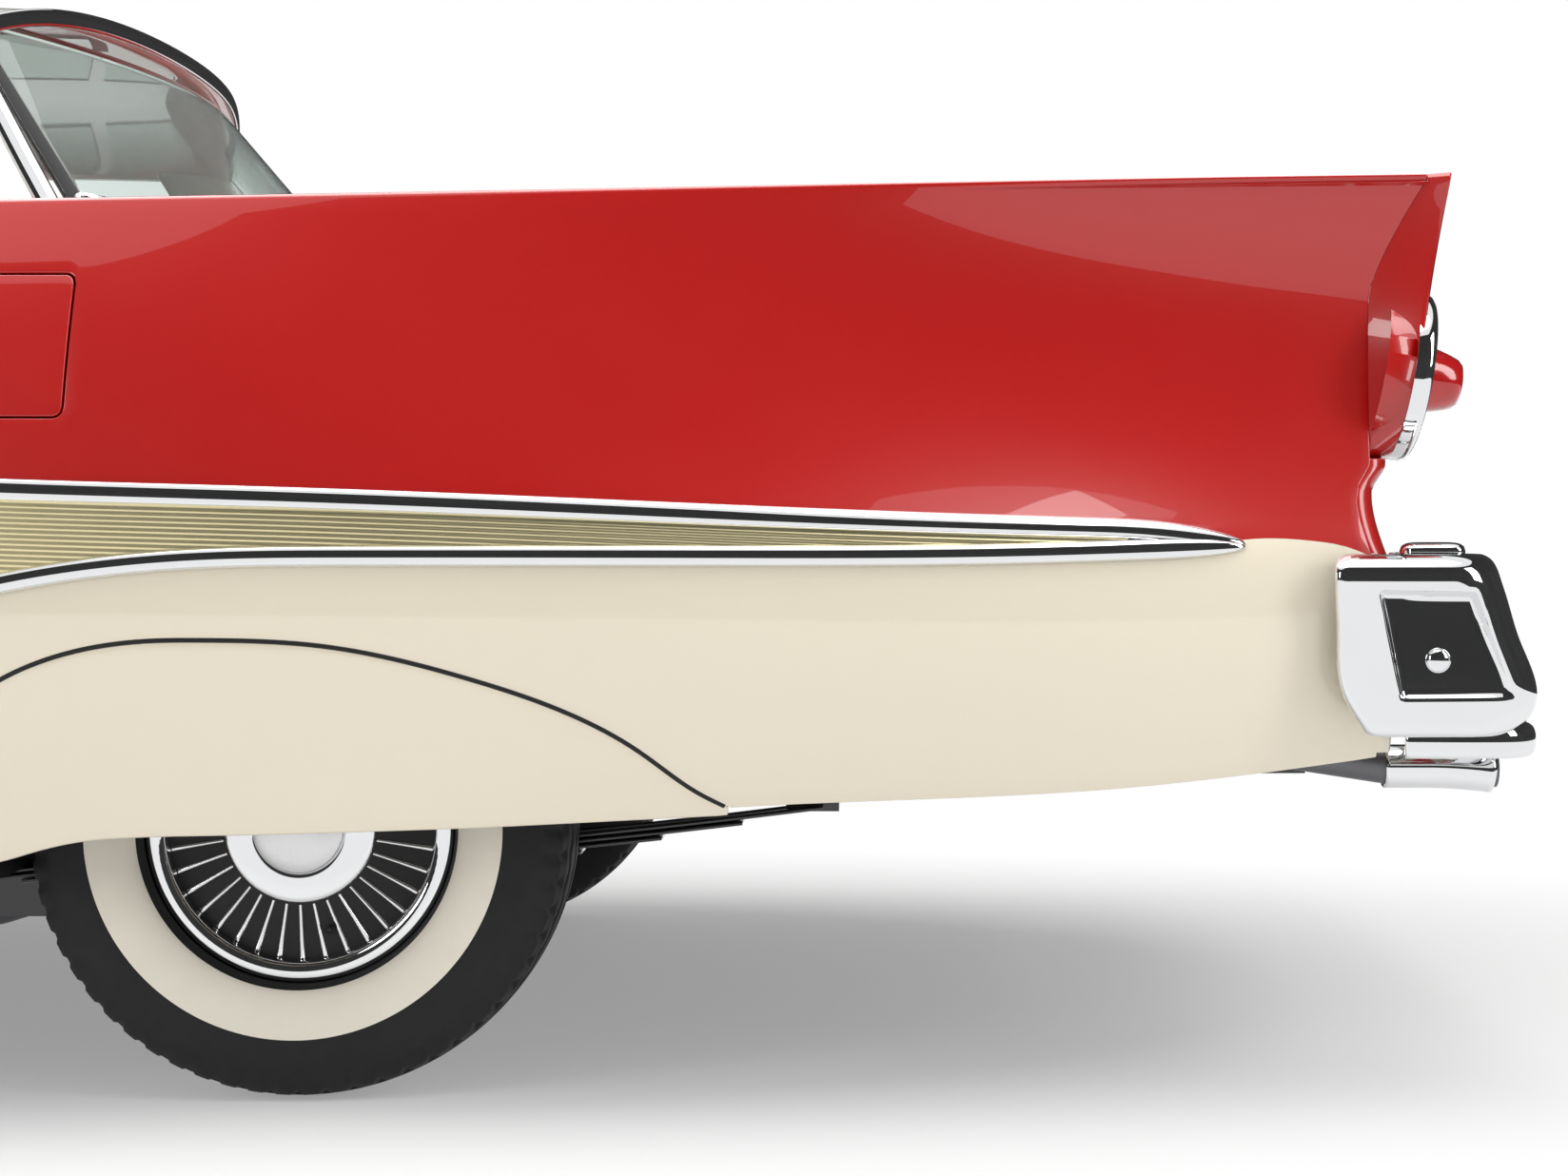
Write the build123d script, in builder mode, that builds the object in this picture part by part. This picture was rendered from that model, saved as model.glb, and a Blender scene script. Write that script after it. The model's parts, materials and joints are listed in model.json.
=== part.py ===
"""Two-door hardtop car of the late 1950s: red over cream, finned tail, covered rear wheels.

Millimetres. +X runs to the tail, +Y to the car's right-hand side, +Z up.
The origin lies on the ground, under the middle of the car's length.
"""
import os
from collections import namedtuple
from math import cos, radians, sin, sqrt

from build123d import *

# Overall sizes
FRONT_OVERHANG = 852.0
WHEELBASE = 2997.0
REAR_OVERHANG = 1505.0
HALF_WIDTH = 978.0
FRONT_TRACK = 1499.0
REAR_TRACK = 1433.0
NOSE_X = -(FRONT_OVERHANG + WHEELBASE + REAR_OVERHANG) / 2
FRONT_AXLE_X = NOSE_X + FRONT_OVERHANG
REAR_AXLE_X = FRONT_AXLE_X + WHEELBASE
TAIL_X = REAR_AXLE_X + REAR_OVERHANG
FENDER_FRONT_X = NOSE_X + 162.0

# Clearances
SEAT_GAP = 0.3
PANEL_GAP = 6.0
PIN_GAP = 0.1
LOFT_GAP = 1.0
SHELF_GAP = 4.0

# Wheels and tyres
TYRE_RADIUS = 335.0
TYRE_WIDTH = 205.0
BEAD_RADIUS = 194.3
BEAD_HALF = 70.0
TREAD_HALF = 82.0
TREAD_DEPTH = 29.0
COVER_RIBS = 36
SPINDLE_RADIUS = 32.0
DRUM_RADIUS = 138.0
FLANGE_A = -6.0

# Body side: walls and skins
TOP_WALL = 75.0
SIDE_WALL = 60.0
BOTTOM_WALL = 45.0
SKIN = 16.0

# Doors
DOOR_FRONT_X = FRONT_AXLE_X + 1150.0
DOOR_REAR_X = REAR_AXLE_X - 700.0
DOOR_HINGE_GAP = 8.5
DOOR_REAR_BEVEL = 14.0
GLASS = 6.0

# Roof and glass
ROOF_THICKNESS = 34.0
BELT_GLASS_Z = 1040.0
GLASS_TOP_Z = 1296.0
GLASS_FOOT_Y = HALF_WIDTH - 152.0
GLASS_TOP_Y = HALF_WIDTH - 287.0

# Tail lamps
LAMP_X = TAIL_X - 127.0
LAMP_Y = HALF_WIDTH - 181.0
LAMP_Z = 896.0
LAMP_RADIUS = 100.0
LAMP_TILT = 10.0
BEZEL_DEPTH = 16.0
LENS_RADIUS = 84.0
CONE_RADIUS = 38.0
CONE_LENGTH = 84.0

FAR = 3000.0
SKY = 1700.0
LOW = (Align.MIN, Align.CENTER, Align.MIN)

os.makedirs("parts", exist_ok=True)


def write(part, name):
    """One STEP file for each finished piece."""
    part.label = name
    export_step(part, f"parts/{name}.step")


def write_pair(part, name):
    """The left-hand piece and its mirror image, as two pieces."""
    write(part, f"{name}_left")
    write(mirror(part, about=Plane.XZ), f"{name}_right")


def write_both(part, name):
    """The left-hand piece and its mirror image, as one piece of separate solids."""
    twin = mirror(part, about=Plane.XZ)
    write(Compound([*part.solids(), *twin.solids()]), name)


def prism_xz(points, y_low, y_high):
    """A prism across the car, from an outline seen from the side."""
    with BuildPart() as prism:
        with BuildSketch(Plane.XZ.offset(-y_low)):
            Polygon(*points, align=None)
        extrude(amount=-(y_high - y_low))
    return prism.part


def prism_xy(points, z_low, z_high):
    """An upright prism, from an outline seen from above."""
    with BuildPart() as prism:
        with BuildSketch(Plane.XY.offset(z_low)):
            Polygon(*points, align=None)
        extrude(amount=z_high - z_low)
    return prism.part


# Body side sections across the car, from tail to nose. Each holds five points of the outer skin,
# from the bottom edge up: z is the height and inset the distance inside the half width.
# drop is how far the top face falls towards the middle of the car.
Section = namedtuple(
    "Section",
    "x bottom_z bottom_inset low_z low_inset line_z line_inset waist_z waist_inset top_z top_inset drop",
)
SECTIONS = [
    Section(TAIL_X - 80, 445, 140, 560, 92, 672, 88, 880, 126, 1131, 78, 62),
    Section(TAIL_X - 505, 395, 73, 560, 10, 688, 18, 900, 96, 1122, 73, 50),
    Section(REAR_AXLE_X + 500, 372, 53, 560, 0, 705, 7, 900, 64, 1114, 88, 30),
    Section(REAR_AXLE_X, 322, 43, 560, 0, 725, 3, 905, 44, 1107, 106, 18),
    Section(DOOR_REAR_X, 296, 53, 545, 3, 745, 6, 910, 38, 1098, 128, 15),
    Section(DOOR_FRONT_X, 290, 68, 530, 11, 738, 11, 900, 40, 1068, 133, 15),
    Section(FRONT_AXLE_X + 757, 292, 70, 530, 13, 732, 13, 892, 38, 1050, 128, 15),
    Section(FRONT_AXLE_X, 300, 73, 530, 16, 725, 14, 880, 36, 1025, 123, 15),
    Section(FENDER_FRONT_X - 10, 362, 96, 530, 42, 708, 38, 842, 58, 950, 126, 15),
]
TAIL_S, REAR_S, DECK_S, AXLE_S, DOOR_REAR_S, DOOR_FRONT_S, COWL_S, FRONT_S, NOSE_S = SECTIONS


def half(inset):
    """Left-hand y at a distance inside the half width."""
    return inset - HALF_WIDTH


def wall_top(s):
    """Inner edge of a section's top face, as (y, z)."""
    return half(s.top_inset) + TOP_WALL, s.top_z - s.drop


def lid_row(x, s, gap, crown_z):
    """A lid's row at x: it spans the walls of section s less a gap, level with their inner edges."""
    y, z = wall_top(s)
    return x, -y - gap, z, crown_z


def draw_skin(s, shift=0.0):
    """The outer skin's two arcs, moved inwards by shift; gives the bottom and top points."""
    bottom = (half(s.bottom_inset) + shift, s.bottom_z)
    line = (half(s.line_inset) + shift, s.line_z)
    top = (half(s.top_inset) + shift, s.top_z)
    ThreePointArc(bottom, (half(s.low_inset) + shift, s.low_z), line)
    ThreePointArc(line, (half(s.waist_inset) + shift, s.waist_z), top)
    return bottom, top


def skin_loft(sections, depth):
    """The outer part of the body side, down to a depth below the skin."""
    with BuildPart() as skin:
        for s in sections:
            with BuildSketch(Plane.YZ.offset(s.x)):
                with BuildLine():
                    low, high = draw_skin(s)
                    low_in, high_in = draw_skin(s, depth)
                    Line(high, high_in)
                    Line(low, low_in)
                make_face()
        loft()
    return skin.part


with BuildPart() as side_wall:
    for s in SECTIONS:
        with BuildSketch(Plane.YZ.offset(s.x)):
            with BuildLine():
                low, high = draw_skin(s)
                inner_line = (half(s.line_inset) + SIDE_WALL, s.line_z)
                inner_low = (half(s.bottom_inset) + BOTTOM_WALL, s.bottom_z)
                Polyline(high, wall_top(s), inner_line, inner_low, low)
            make_face()
    loft()

# Door hinges: two vertical pins close under the skin at each door's front edge
DOOR_AXIS_X = DOOR_FRONT_X + 14.0
DOOR_AXIS_Y = half(DOOR_FRONT_S.line_inset) + 10.0
DOOR_HINGE_ZS = (480.0, 760.0)
DOOR_PIN_RADIUS = 6.0
DOOR_PIN_LENGTH = 70.0
DOOR_ARM_HEIGHT = 24.0
NOTCH_CLEAR = 3.0

# Lid hinges: pins on the side walls that reach into the lids' ends, as (x, y of the lid's end, z)
LID_PIN_RADIUS = 6.0
LID_PIN_GRIP = 50.0
LID_PIN_REACH = 60.0
LID_THICKNESS = 22.0


def lid_axis(x, s):
    """Left-hand end of a lid's hinge line: half way through the lid, at section s."""
    y, z = wall_top(s)
    return x, y + PANEL_GAP, z - LID_THICKNESS / 2


HOOD_AXIS = lid_axis(FENDER_FRONT_X + 14.0, NOSE_S)
DECK_AXIS = lid_axis(TAIL_X - 179.0, TAIL_S)


def trunnion(axis, radius, inwards, outwards):
    """A pin across the car, from a lid's end towards the middle and out into the wall."""
    x, y, z = axis
    with BuildPart() as pin:
        with BuildSketch(Plane.XZ.offset(-(y - outwards))):
            with Locations((x, z)):
                Circle(radius)
        extrude(amount=-(inwards + outwards))
    return pin.part


# Front fender: the wall from nose to door, with a round arch and the headlamp's pod
FRONT_ARCH_RADIUS = 400.0
POD_X = FENDER_FRONT_X - 100.0
POD_Y = HALF_WIDTH - 216.0
POD_Z = 770.0
POD_RADIUS = 120.0
LAMP_RECESS = 40.0
BUMPER_LOW_Z = 400.0
BUMPER_TOP_Z = 550.0
HEADLAMP_RADIUS = 92.0

with BuildPart() as front_fender:
    add(side_wall.part)
    with Locations((FENDER_FRONT_X, 0, 0)):
        Box(DOOR_FRONT_X - DOOR_HINGE_GAP - FENDER_FRONT_X, FAR, SKY, align=LOW, mode=Mode.INTERSECT)
    with Locations(Location((FRONT_AXLE_X, -HALF_WIDTH, TYRE_RADIUS), (90, 0, 0))):
        Cylinder(FRONT_ARCH_RADIUS, FAR / 4, mode=Mode.SUBTRACT)
    with BuildSketch(Plane.YZ.offset(POD_X)):
        with Locations((-POD_Y, POD_Z)):
            Circle(POD_RADIUS)
    extrude(amount=FENDER_FRONT_X + 150 - POD_X)
    with BuildSketch(Plane.YZ.offset(POD_X)):
        with Locations((-POD_Y, POD_Z)):
            Circle(HEADLAMP_RADIUS)
    extrude(amount=LAMP_RECESS, mode=Mode.SUBTRACT)
    with Locations((FENDER_FRONT_X, 0, 0)):
        Box(240, FAR, BUMPER_TOP_Z + 8, align=LOW, mode=Mode.SUBTRACT)
    add(trunnion(HOOD_AXIS, LID_PIN_RADIUS, LID_PIN_GRIP, LID_PIN_REACH))
    for z in DOOR_HINGE_ZS:
        with Locations((DOOR_AXIS_X, DOOR_AXIS_Y, z)):
            Cylinder(DOOR_PIN_RADIUS, DOOR_PIN_LENGTH)
            Box(
                DOOR_HINGE_GAP + 60,
                2 * DOOR_PIN_RADIUS,
                DOOR_ARM_HEIGHT,
                align=(Align.MAX, Align.CENTER, Align.CENTER),
            )
write_pair(front_fender.part, "front_fender")

# Side glass: flat panes that lean in from the belt to the roof rail
GLASS_LEAN = (GLASS_FOOT_Y - GLASS_TOP_Y) / (GLASS_TOP_Z - BELT_GLASS_Z)


def side_pane(foot_front, foot_rear, top_rear, top_front, thickness):
    """A leaning pane; the corners are x values at the foot and at the top."""
    skew = sqrt(1 + GLASS_LEAN**2)
    plane = Plane(
        origin=(0, -GLASS_FOOT_Y, BELT_GLASS_Z), x_dir=(1, 0, 0), z_dir=(0, -1, GLASS_LEAN)
    )
    rise = (GLASS_TOP_Z - BELT_GLASS_Z) * skew
    with BuildPart() as pane:
        with BuildSketch(plane):
            Polygon((foot_front, 0), (foot_rear, 0), (top_rear, rise), (top_front, rise), align=None)
        extrude(amount=thickness / 2, both=True)
    return pane.part


DOOR_PANE = (DOOR_FRONT_X + 48, DOOR_REAR_X - 24, DOOR_REAR_X - 24, FRONT_AXLE_X + 1398)
door_glass = side_pane(*DOOR_PANE, GLASS)
door_slot = side_pane(*DOOR_PANE, GLASS + 2 * SEAT_GAP)
QUARTER_PANE = (DOOR_REAR_X + 4, REAR_AXLE_X - 484, REAR_AXLE_X - 575, DOOR_REAR_X + 4)
quarter_glass = side_pane(*QUARTER_PANE, GLASS)
quarter_slot = side_pane(*QUARTER_PANE, GLASS + 2 * SEAT_GAP)

# Door: the wall between the shut lines; the rear face is bevelled so that it swings clear
with BuildPart() as door:
    add(side_wall.part)
    rear = DOOR_REAR_X - PANEL_GAP
    outline = [
        (DOOR_FRONT_X, -FAR),
        (rear, -FAR),
        (rear, half(20)),
        (rear - DOOR_REAR_BEVEL, half(140)),
        (rear - DOOR_REAR_BEVEL, 0),
        (DOOR_FRONT_X, 0),
    ]
    add(prism_xy(outline, 0, SKY), mode=Mode.INTERSECT)
    for z in DOOR_HINGE_ZS:
        with Locations((DOOR_AXIS_X, DOOR_AXIS_Y, z)):
            Cylinder(DOOR_PIN_RADIUS + PIN_GAP, DOOR_PIN_LENGTH + 2 * NOTCH_CLEAR, mode=Mode.SUBTRACT)
        with Locations((DOOR_AXIS_X + 12, DOOR_AXIS_Y + 12, z)):
            Box(
                200,
                200,
                DOOR_ARM_HEIGHT + 2 * NOTCH_CLEAR,
                align=(Align.MAX, Align.MAX, Align.CENTER),
                mode=Mode.SUBTRACT,
            )
    add(door_slot, mode=Mode.SUBTRACT)
write_pair(door.part, "door")
write_pair(door_glass, "door_glass")

# Rear quarter: fin, tail-lamp pod, covered wheel opening and fuel filler pocket
LAMP_PLANE = Plane(
    origin=(LAMP_X, -LAMP_Y, LAMP_Z),
    x_dir=(0, 1, 0),
    z_dir=(cos(radians(LAMP_TILT)), 0, -sin(radians(LAMP_TILT))),
)
TAIL_EDGE = [
    (5, SKY),
    (-87, SKY),
    (-89, TAIL_S.top_z),
    (-131, LAMP_Z + LAMP_RADIUS + 17),
    (-151, LAMP_Z - LAMP_RADIUS - 6),
    (-193, LAMP_Z - LAMP_RADIUS - 36),
    (-193, 300),
    (5, 300),
]
FUEL_FRONT_X = REAR_AXLE_X - 436.0
FUEL_REAR_X = REAR_AXLE_X - 236.0
FUEL_LOW_Z = 830.0
FUEL_HIGH_Z = 1009.0
FUEL_CORNER = 15.0
FUEL_GAP = 6.0
FUEL_HINGE_GAP = 14.0
FUEL_PIN_INSET = 8.0
FUEL_POCKET = 40.0
FUEL_PIN_RADIUS = 4.0


def circle_y(points, z):
    """y at height z on the circle through three (y, z) points, near the middle one."""
    (y1, z1), (y2, z2), (y3, z3) = points
    d = 2 * (y1 * (z2 - z3) + y2 * (z3 - z1) + y3 * (z1 - z2))
    q1, q2, q3 = y1**2 + z1**2, y2**2 + z2**2, y3**2 + z3**2
    cy = (q1 * (z2 - z3) + q2 * (z3 - z1) + q3 * (z1 - z2)) / d
    cz = (q1 * (y3 - y2) + q2 * (y1 - y3) + q3 * (y2 - y1)) / d
    reach = sqrt((y2 - cy) ** 2 + (z2 - cz) ** 2 - (z - cz) ** 2)
    return cy + reach if y2 > cy else cy - reach


def upper_skin_y(x, z):
    """Left-hand y of the skin above its widest line, between the axle and door sections."""
    ys = []
    for s in (AXLE_S, DOOR_REAR_S):
        points = [
            (half(s.line_inset), s.line_z),
            (half(s.waist_inset), s.waist_z),
            (half(s.top_inset), s.top_z),
        ]
        ys.append(circle_y(points, z))
    share = (AXLE_S.x - x) / (AXLE_S.x - DOOR_REAR_S.x)
    return ys[0] + share * (ys[1] - ys[0])


def skirt_prism(gap, feet):
    """The rear wheel cover's outline, extruded; gap shrinks it and feet are its lower corners."""
    rear = (REAR_AXLE_X + 541 - gap, 370)
    top = (REAR_AXLE_X - 90, 574 - gap)
    front = (REAR_AXLE_X - 448 + gap, 330)
    with BuildPart() as prism:
        with BuildSketch(Plane.XZ.offset(HALF_WIDTH + 20)):
            with BuildLine():
                ThreePointArc(rear, (REAR_AXLE_X + 245, 527 - gap), top)
                ThreePointArc(top, (REAR_AXLE_X - 340, 508 - gap), front)
                Polyline(front, *[(REAR_AXLE_X + x, z) for x, z in feet], rear)
            make_face()
        extrude(amount=-320)
    return prism.part


def fuel_prism(front_gap, gap):
    with BuildPart() as prism:
        with BuildSketch(Plane.XZ.offset(HALF_WIDTH + 20)):
            front, rear = FUEL_FRONT_X + front_gap, FUEL_REAR_X - gap
            low, high = FUEL_LOW_Z + gap, FUEL_HIGH_Z - gap
            with Locations(((front + rear) / 2, (low + high) / 2)):
                RectangleRounded(rear - front, high - low, FUEL_CORNER - gap)
        extrude(amount=-250)
    return prism.part


FUEL_AXIS_X = FUEL_FRONT_X + FUEL_HINGE_GAP + FUEL_PIN_INSET
FUEL_AXIS_LOW = Vector(FUEL_AXIS_X, upper_skin_y(FUEL_AXIS_X, FUEL_LOW_Z) + 8, FUEL_LOW_Z)
FUEL_AXIS_HIGH = Vector(FUEL_AXIS_X, upper_skin_y(FUEL_AXIS_X, FUEL_HIGH_Z) + 8, FUEL_HIGH_Z)
FUEL_AXIS = (FUEL_AXIS_HIGH - FUEL_AXIS_LOW).normalized()


def fuel_pin(radius):
    """Hinge pin that crosses the filler pocket from its floor to its roof."""
    length = (FUEL_AXIS_HIGH - FUEL_AXIS_LOW).length + 16
    with BuildPart() as pin:
        with BuildSketch(Plane(origin=FUEL_AXIS_LOW - FUEL_AXIS * 8, z_dir=FUEL_AXIS)):
            Circle(radius)
        extrude(amount=length)
    return pin.part


REAR_WHEEL_Y = REAR_TRACK / 2
FRONT_WHEEL_Y = FRONT_TRACK / 2
WELL_CLEAR = 20.0


def rear_well():
    """Room for the rear wheel: a drum round the tyre, from the middle of the car outwards."""
    with BuildPart() as well:
        with BuildSketch(Plane.XZ):
            with Locations((REAR_AXLE_X, TYRE_RADIUS)):
                Circle(TYRE_RADIUS + WELL_CLEAR)
        extrude(amount=REAR_WHEEL_Y + TYRE_WIDTH / 2 + WELL_CLEAR)
    return well.part


with BuildPart() as quarter:
    add(side_wall.part)
    with Locations((DOOR_REAR_X, 0, 0)):
        Box(FAR, FAR, SKY, align=LOW, mode=Mode.INTERSECT)
    add(prism_xz([(TAIL_X + x, z) for x, z in TAIL_EDGE], -FAR, FAR), mode=Mode.SUBTRACT)
    with BuildSketch(LAMP_PLANE):
        Circle(LAMP_RADIUS)
    with BuildSketch(LAMP_PLANE.offset(-260)):
        Circle(LAMP_RADIUS * 0.7)
    loft()
    add(skirt_prism(0, [(-448, 150), (541, 150)]), mode=Mode.SUBTRACT)
    add(quarter_slot, mode=Mode.SUBTRACT)
    add(rear_well(), mode=Mode.SUBTRACT)
    add(trunnion(DECK_AXIS, LID_PIN_RADIUS, LID_PIN_GRIP, LID_PIN_REACH))
pocket = skin_loft([REAR_S, DECK_S, AXLE_S, DOOR_REAR_S], FUEL_POCKET) & fuel_prism(0, 0)
quarter_left = quarter.part - pocket + fuel_pin(FUEL_PIN_RADIUS)
write(quarter_left, "rear_quarter_left")
write(mirror(quarter.part, about=Plane.XZ), "rear_quarter_right")

rear_skin = skin_loft([REAR_S, DECK_S, AXLE_S, DOOR_REAR_S], SKIN)
with BuildPart() as fuel_door:
    add(rear_skin)
    add(fuel_prism(FUEL_HINGE_GAP, FUEL_GAP), mode=Mode.INTERSECT)
    add(fuel_pin(FUEL_PIN_RADIUS + PIN_GAP), mode=Mode.SUBTRACT)
write(fuel_door.part, "fuel_door")

SKIRT_FEET = [(-448 + SEAT_GAP, 306), (-335, 306), (-225, 342)]
with BuildPart() as skirt:
    add(rear_skin)
    add(skirt_prism(SEAT_GAP, SKIRT_FEET), mode=Mode.INTERSECT)
    add(rear_well(), mode=Mode.SUBTRACT)
write_both(skirt.part, "wheel_skirts")
write_both(quarter_glass, "quarter_glass")


# Hood, cowl, shelf and deck lid: panels crowned across the car


def crowned_panel(rows, thickness):
    """A lofted panel; each row holds x, half width, height of the edges and height of the middle."""
    with BuildPart() as panel:
        for x, width, edge_z, crown_z in rows:
            with BuildSketch(Plane.YZ.offset(x)):
                with BuildLine():
                    ThreePointArc((-width, edge_z), (0, crown_z), (width, edge_z))
                    Line((width, edge_z), (width, edge_z - thickness))
                    low_z = edge_z - thickness
                    ThreePointArc((width, low_z), (0, crown_z - thickness), (-width, low_z))
                    Line((-width, low_z), (-width, edge_z))
                make_face()
        loft()
    return panel.part


def hinged_panel(rows, axis, thickness):
    """A crowned panel with a blind bore for a hinge pin in each end."""
    bore = trunnion(axis, LID_PIN_RADIUS + PIN_GAP, LID_PIN_GRIP + 3, 20)
    with BuildPart() as panel:
        add(crowned_panel(rows, thickness))
        add(bore, mode=Mode.SUBTRACT)
        add(mirror(bore, about=Plane.XZ), mode=Mode.SUBTRACT)
    return panel.part


COWL_THICKNESS = 40.0
SHELF_THICKNESS = 20.0
SHELF_REAR_X = REAR_AXLE_X + 24.0
HOOD_ROWS = [
    lid_row(COWL_S.x - PANEL_GAP, COWL_S, PANEL_GAP, 1085),
    lid_row(FRONT_S.x, FRONT_S, PANEL_GAP, 1066),
    lid_row(FENDER_FRONT_X, NOSE_S, PANEL_GAP, 968),
]
DECK_ROWS = [
    lid_row(SHELF_REAR_X + PANEL_GAP, AXLE_S, PANEL_GAP, 1106),
    lid_row(DECK_S.x, DECK_S, PANEL_GAP, 1110),
    lid_row(REAR_S.x, REAR_S, PANEL_GAP, 1098),
    lid_row(TAIL_X - 165, TAIL_S, PANEL_GAP, 1085),
]
COWL_ROWS = [
    lid_row(COWL_S.x, COWL_S, LOFT_GAP, 1085),
    lid_row(DOOR_FRONT_X - DOOR_HINGE_GAP, DOOR_FRONT_S, LOFT_GAP, 1090),
]
SHELF_ROWS = [
    lid_row(REAR_AXLE_X - 430, DOOR_REAR_S, SHELF_GAP, 1097),
    lid_row(REAR_AXLE_X, AXLE_S, SHELF_GAP, 1104),
    lid_row(SHELF_REAR_X, AXLE_S, SHELF_GAP, 1104),
]
hood = hinged_panel(HOOD_ROWS, HOOD_AXIS, LID_THICKNESS)
write(hood, "hood")
deck_lid = hinged_panel(DECK_ROWS, DECK_AXIS, LID_THICKNESS)
write(deck_lid, "deck_lid")
cowl = crowned_panel(COWL_ROWS, COWL_THICKNESS)
write(cowl, "cowl")
shelf = crowned_panel(SHELF_ROWS, SHELF_THICKNESS)

# Roof: a crowned shell trimmed by arcs in plan, on two leaning rear pillars
ROOF_FRONT_X = FRONT_AXLE_X + 1345.0
ROOF_REAR_X = REAR_AXLE_X - 335.0
ROOF_ROWS = [
    (FRONT_AXLE_X + 1340, -half(323), 1336, 1398),
    (FRONT_AXLE_X + 2000, -half(288), 1352, 1430),
    (REAR_AXLE_X - 328, -half(322), 1334, 1405),
]
# Each end of a pillar is a rectangle: height, front and rear x, outer and inner inset
PILLAR_ENDS = [
    (1070.0, REAR_AXLE_X - 465, REAR_AXLE_X - 285, 140.0, 200.0),
    (1335.0, REAR_AXLE_X - 590, REAR_AXLE_X - 470, 288.0, 338.0),
]


def largest(shape):
    """The biggest solid that is left after a cut."""
    return Part(max(shape.solids(), key=lambda solid: solid.volume).wrapped)


def bowed_sheet(levels, thickness):
    """Curved glass lofted between levels of z, end x, end y and middle x; thickness lies towards +x."""
    with BuildPart() as sheet:
        for z, end_x, end_y, middle_x in levels:
            with BuildSketch(Plane.XY.offset(z)):
                with BuildLine():
                    back_x = end_x + thickness
                    ThreePointArc((end_x, -end_y), (middle_x, 0), (end_x, end_y))
                    Line((end_x, end_y), (back_x, end_y))
                    ThreePointArc((back_x, end_y), (middle_x + thickness, 0), (back_x, -end_y))
                    Line((back_x, -end_y), (end_x, -end_y))
                make_face()
        loft(ruled=True)
    return sheet.part


SHIELD_FOOT = (1040.0, FRONT_AXLE_X + 1120, -half(203), FRONT_AXLE_X + 880)
SHIELD_TOP = (1372.0, FRONT_AXLE_X + 1440, -half(338), FRONT_AXLE_X + 1372)
BACK_FOOT = (1075.0, REAR_AXLE_X - 266, -half(172), REAR_AXLE_X - 88)
BACK_TOP = (1385.0, REAR_AXLE_X - 492, -half(338), REAR_AXLE_X - 350)


def between(foot, top, z, end_in=0.0, shift=0.0):
    """A level part of the way up, with its ends drawn in and the whole moved along x."""
    share = (z - foot[0]) / (top[0] - foot[0])
    end_x, end_y, middle_x = (f + share * (t - f) for f, t in zip(foot[1:], top[1:]))
    bow = (end_x - middle_x) * (1 - ((end_y - end_in) / end_y) ** 2)
    return z, end_x - bow + shift, end_y - end_in, middle_x + shift


with BuildPart() as roof_shell:
    add(crowned_panel(ROOF_ROWS, ROOF_THICKNESS))
    with BuildSketch():
        with BuildLine():
            edge_y = half(258)
            front_left, rear_left = (FRONT_AXLE_X + 1420, edge_y), (REAR_AXLE_X - 478, edge_y)
            front_right, rear_right = (FRONT_AXLE_X + 1420, -edge_y), (REAR_AXLE_X - 478, -edge_y)
            ThreePointArc(front_left, (ROOF_FRONT_X, 0), front_right)
            Line(front_right, rear_right)
            ThreePointArc(rear_right, (ROOF_REAR_X, 0), rear_left)
            Line(rear_left, front_left)
        make_face()
    extrude(amount=SKY, mode=Mode.INTERSECT)
with BuildPart() as pillar:
    for z, front, rear, outer, inner in PILLAR_ENDS:
        with BuildSketch(Plane.XY.offset(z)):
            with Locations(((front + rear) / 2, (half(outer) + half(inner)) / 2)):
                Rectangle(rear - front, inner - outer)
    loft()
back_cut = bowed_sheet([(z, x - 1, y + 40, m - 1) for z, x, y, m in (BACK_FOOT, BACK_TOP)], GLASS + 2)
pillars = pillar.part - quarter.part - shelf - back_cut
pillars = Part(pillars.wrapped)
roof = roof_shell.part + pillars + mirror(pillars, about=Plane.XZ)
write(roof, "roof")

quarters = [quarter.part, mirror(quarter.part, about=Plane.XZ)]
fenders = [front_fender.part, mirror(front_fender.part, about=Plane.XZ)]
rear_window = largest(bowed_sheet([BACK_FOOT, BACK_TOP], GLASS) - [roof, shelf, *quarters])
write(rear_window, "rear_window")
write(shelf, "back_shelf")

FRAME_DEPTH = 34.0
OPENING_ZS = (1108.0, 1345.0)
FRAME_SIDE = 36.0
opening_levels = [between(SHIELD_FOOT, SHIELD_TOP, z, FRAME_SIDE, -60) for z in OPENING_ZS]
opening = bowed_sheet(opening_levels, 200)
shield_blank = bowed_sheet([SHIELD_FOOT, SHIELD_TOP], FRAME_DEPTH)
shield_frame = largest(shield_blank - opening - [roof, cowl, *fenders])
write(shield_frame, "windshield_frame")
GLASS_ZS = (OPENING_ZS[0] + SEAT_GAP, OPENING_ZS[1])
glass_levels = [between(SHIELD_FOOT, SHIELD_TOP, z, FRAME_SIDE + SEAT_GAP, 12) for z in GLASS_ZS]
windshield = largest(bowed_sheet(glass_levels, GLASS) - [roof, shield_frame])
write(windshield, "windshield")

# Tail panel, front panel and grille
TAIL_PANEL_TOP = DECK_AXIS[2] - 24.0
TAIL_PANEL_X = TAIL_X - 173.0
TAIL_PANEL_THICKNESS = 28.0
BOOT_Z = 520.0
with BuildPart() as tail_panel:
    with BuildSketch(Plane.YZ.offset(TAIL_PANEL_X)):
        inner, outer = LAMP_Y - LAMP_RADIUS - 7, -half(150)
        half_outline = [(inner, BOOT_Z), (inner, 998), (outer, 1002), (outer, TAIL_PANEL_TOP)]
        Polygon(*half_outline, *[(-y, z) for y, z in reversed(half_outline)], align=None)
    extrude(amount=TAIL_PANEL_THICKNESS)
write(tail_panel.part, "tail_panel")

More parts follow.
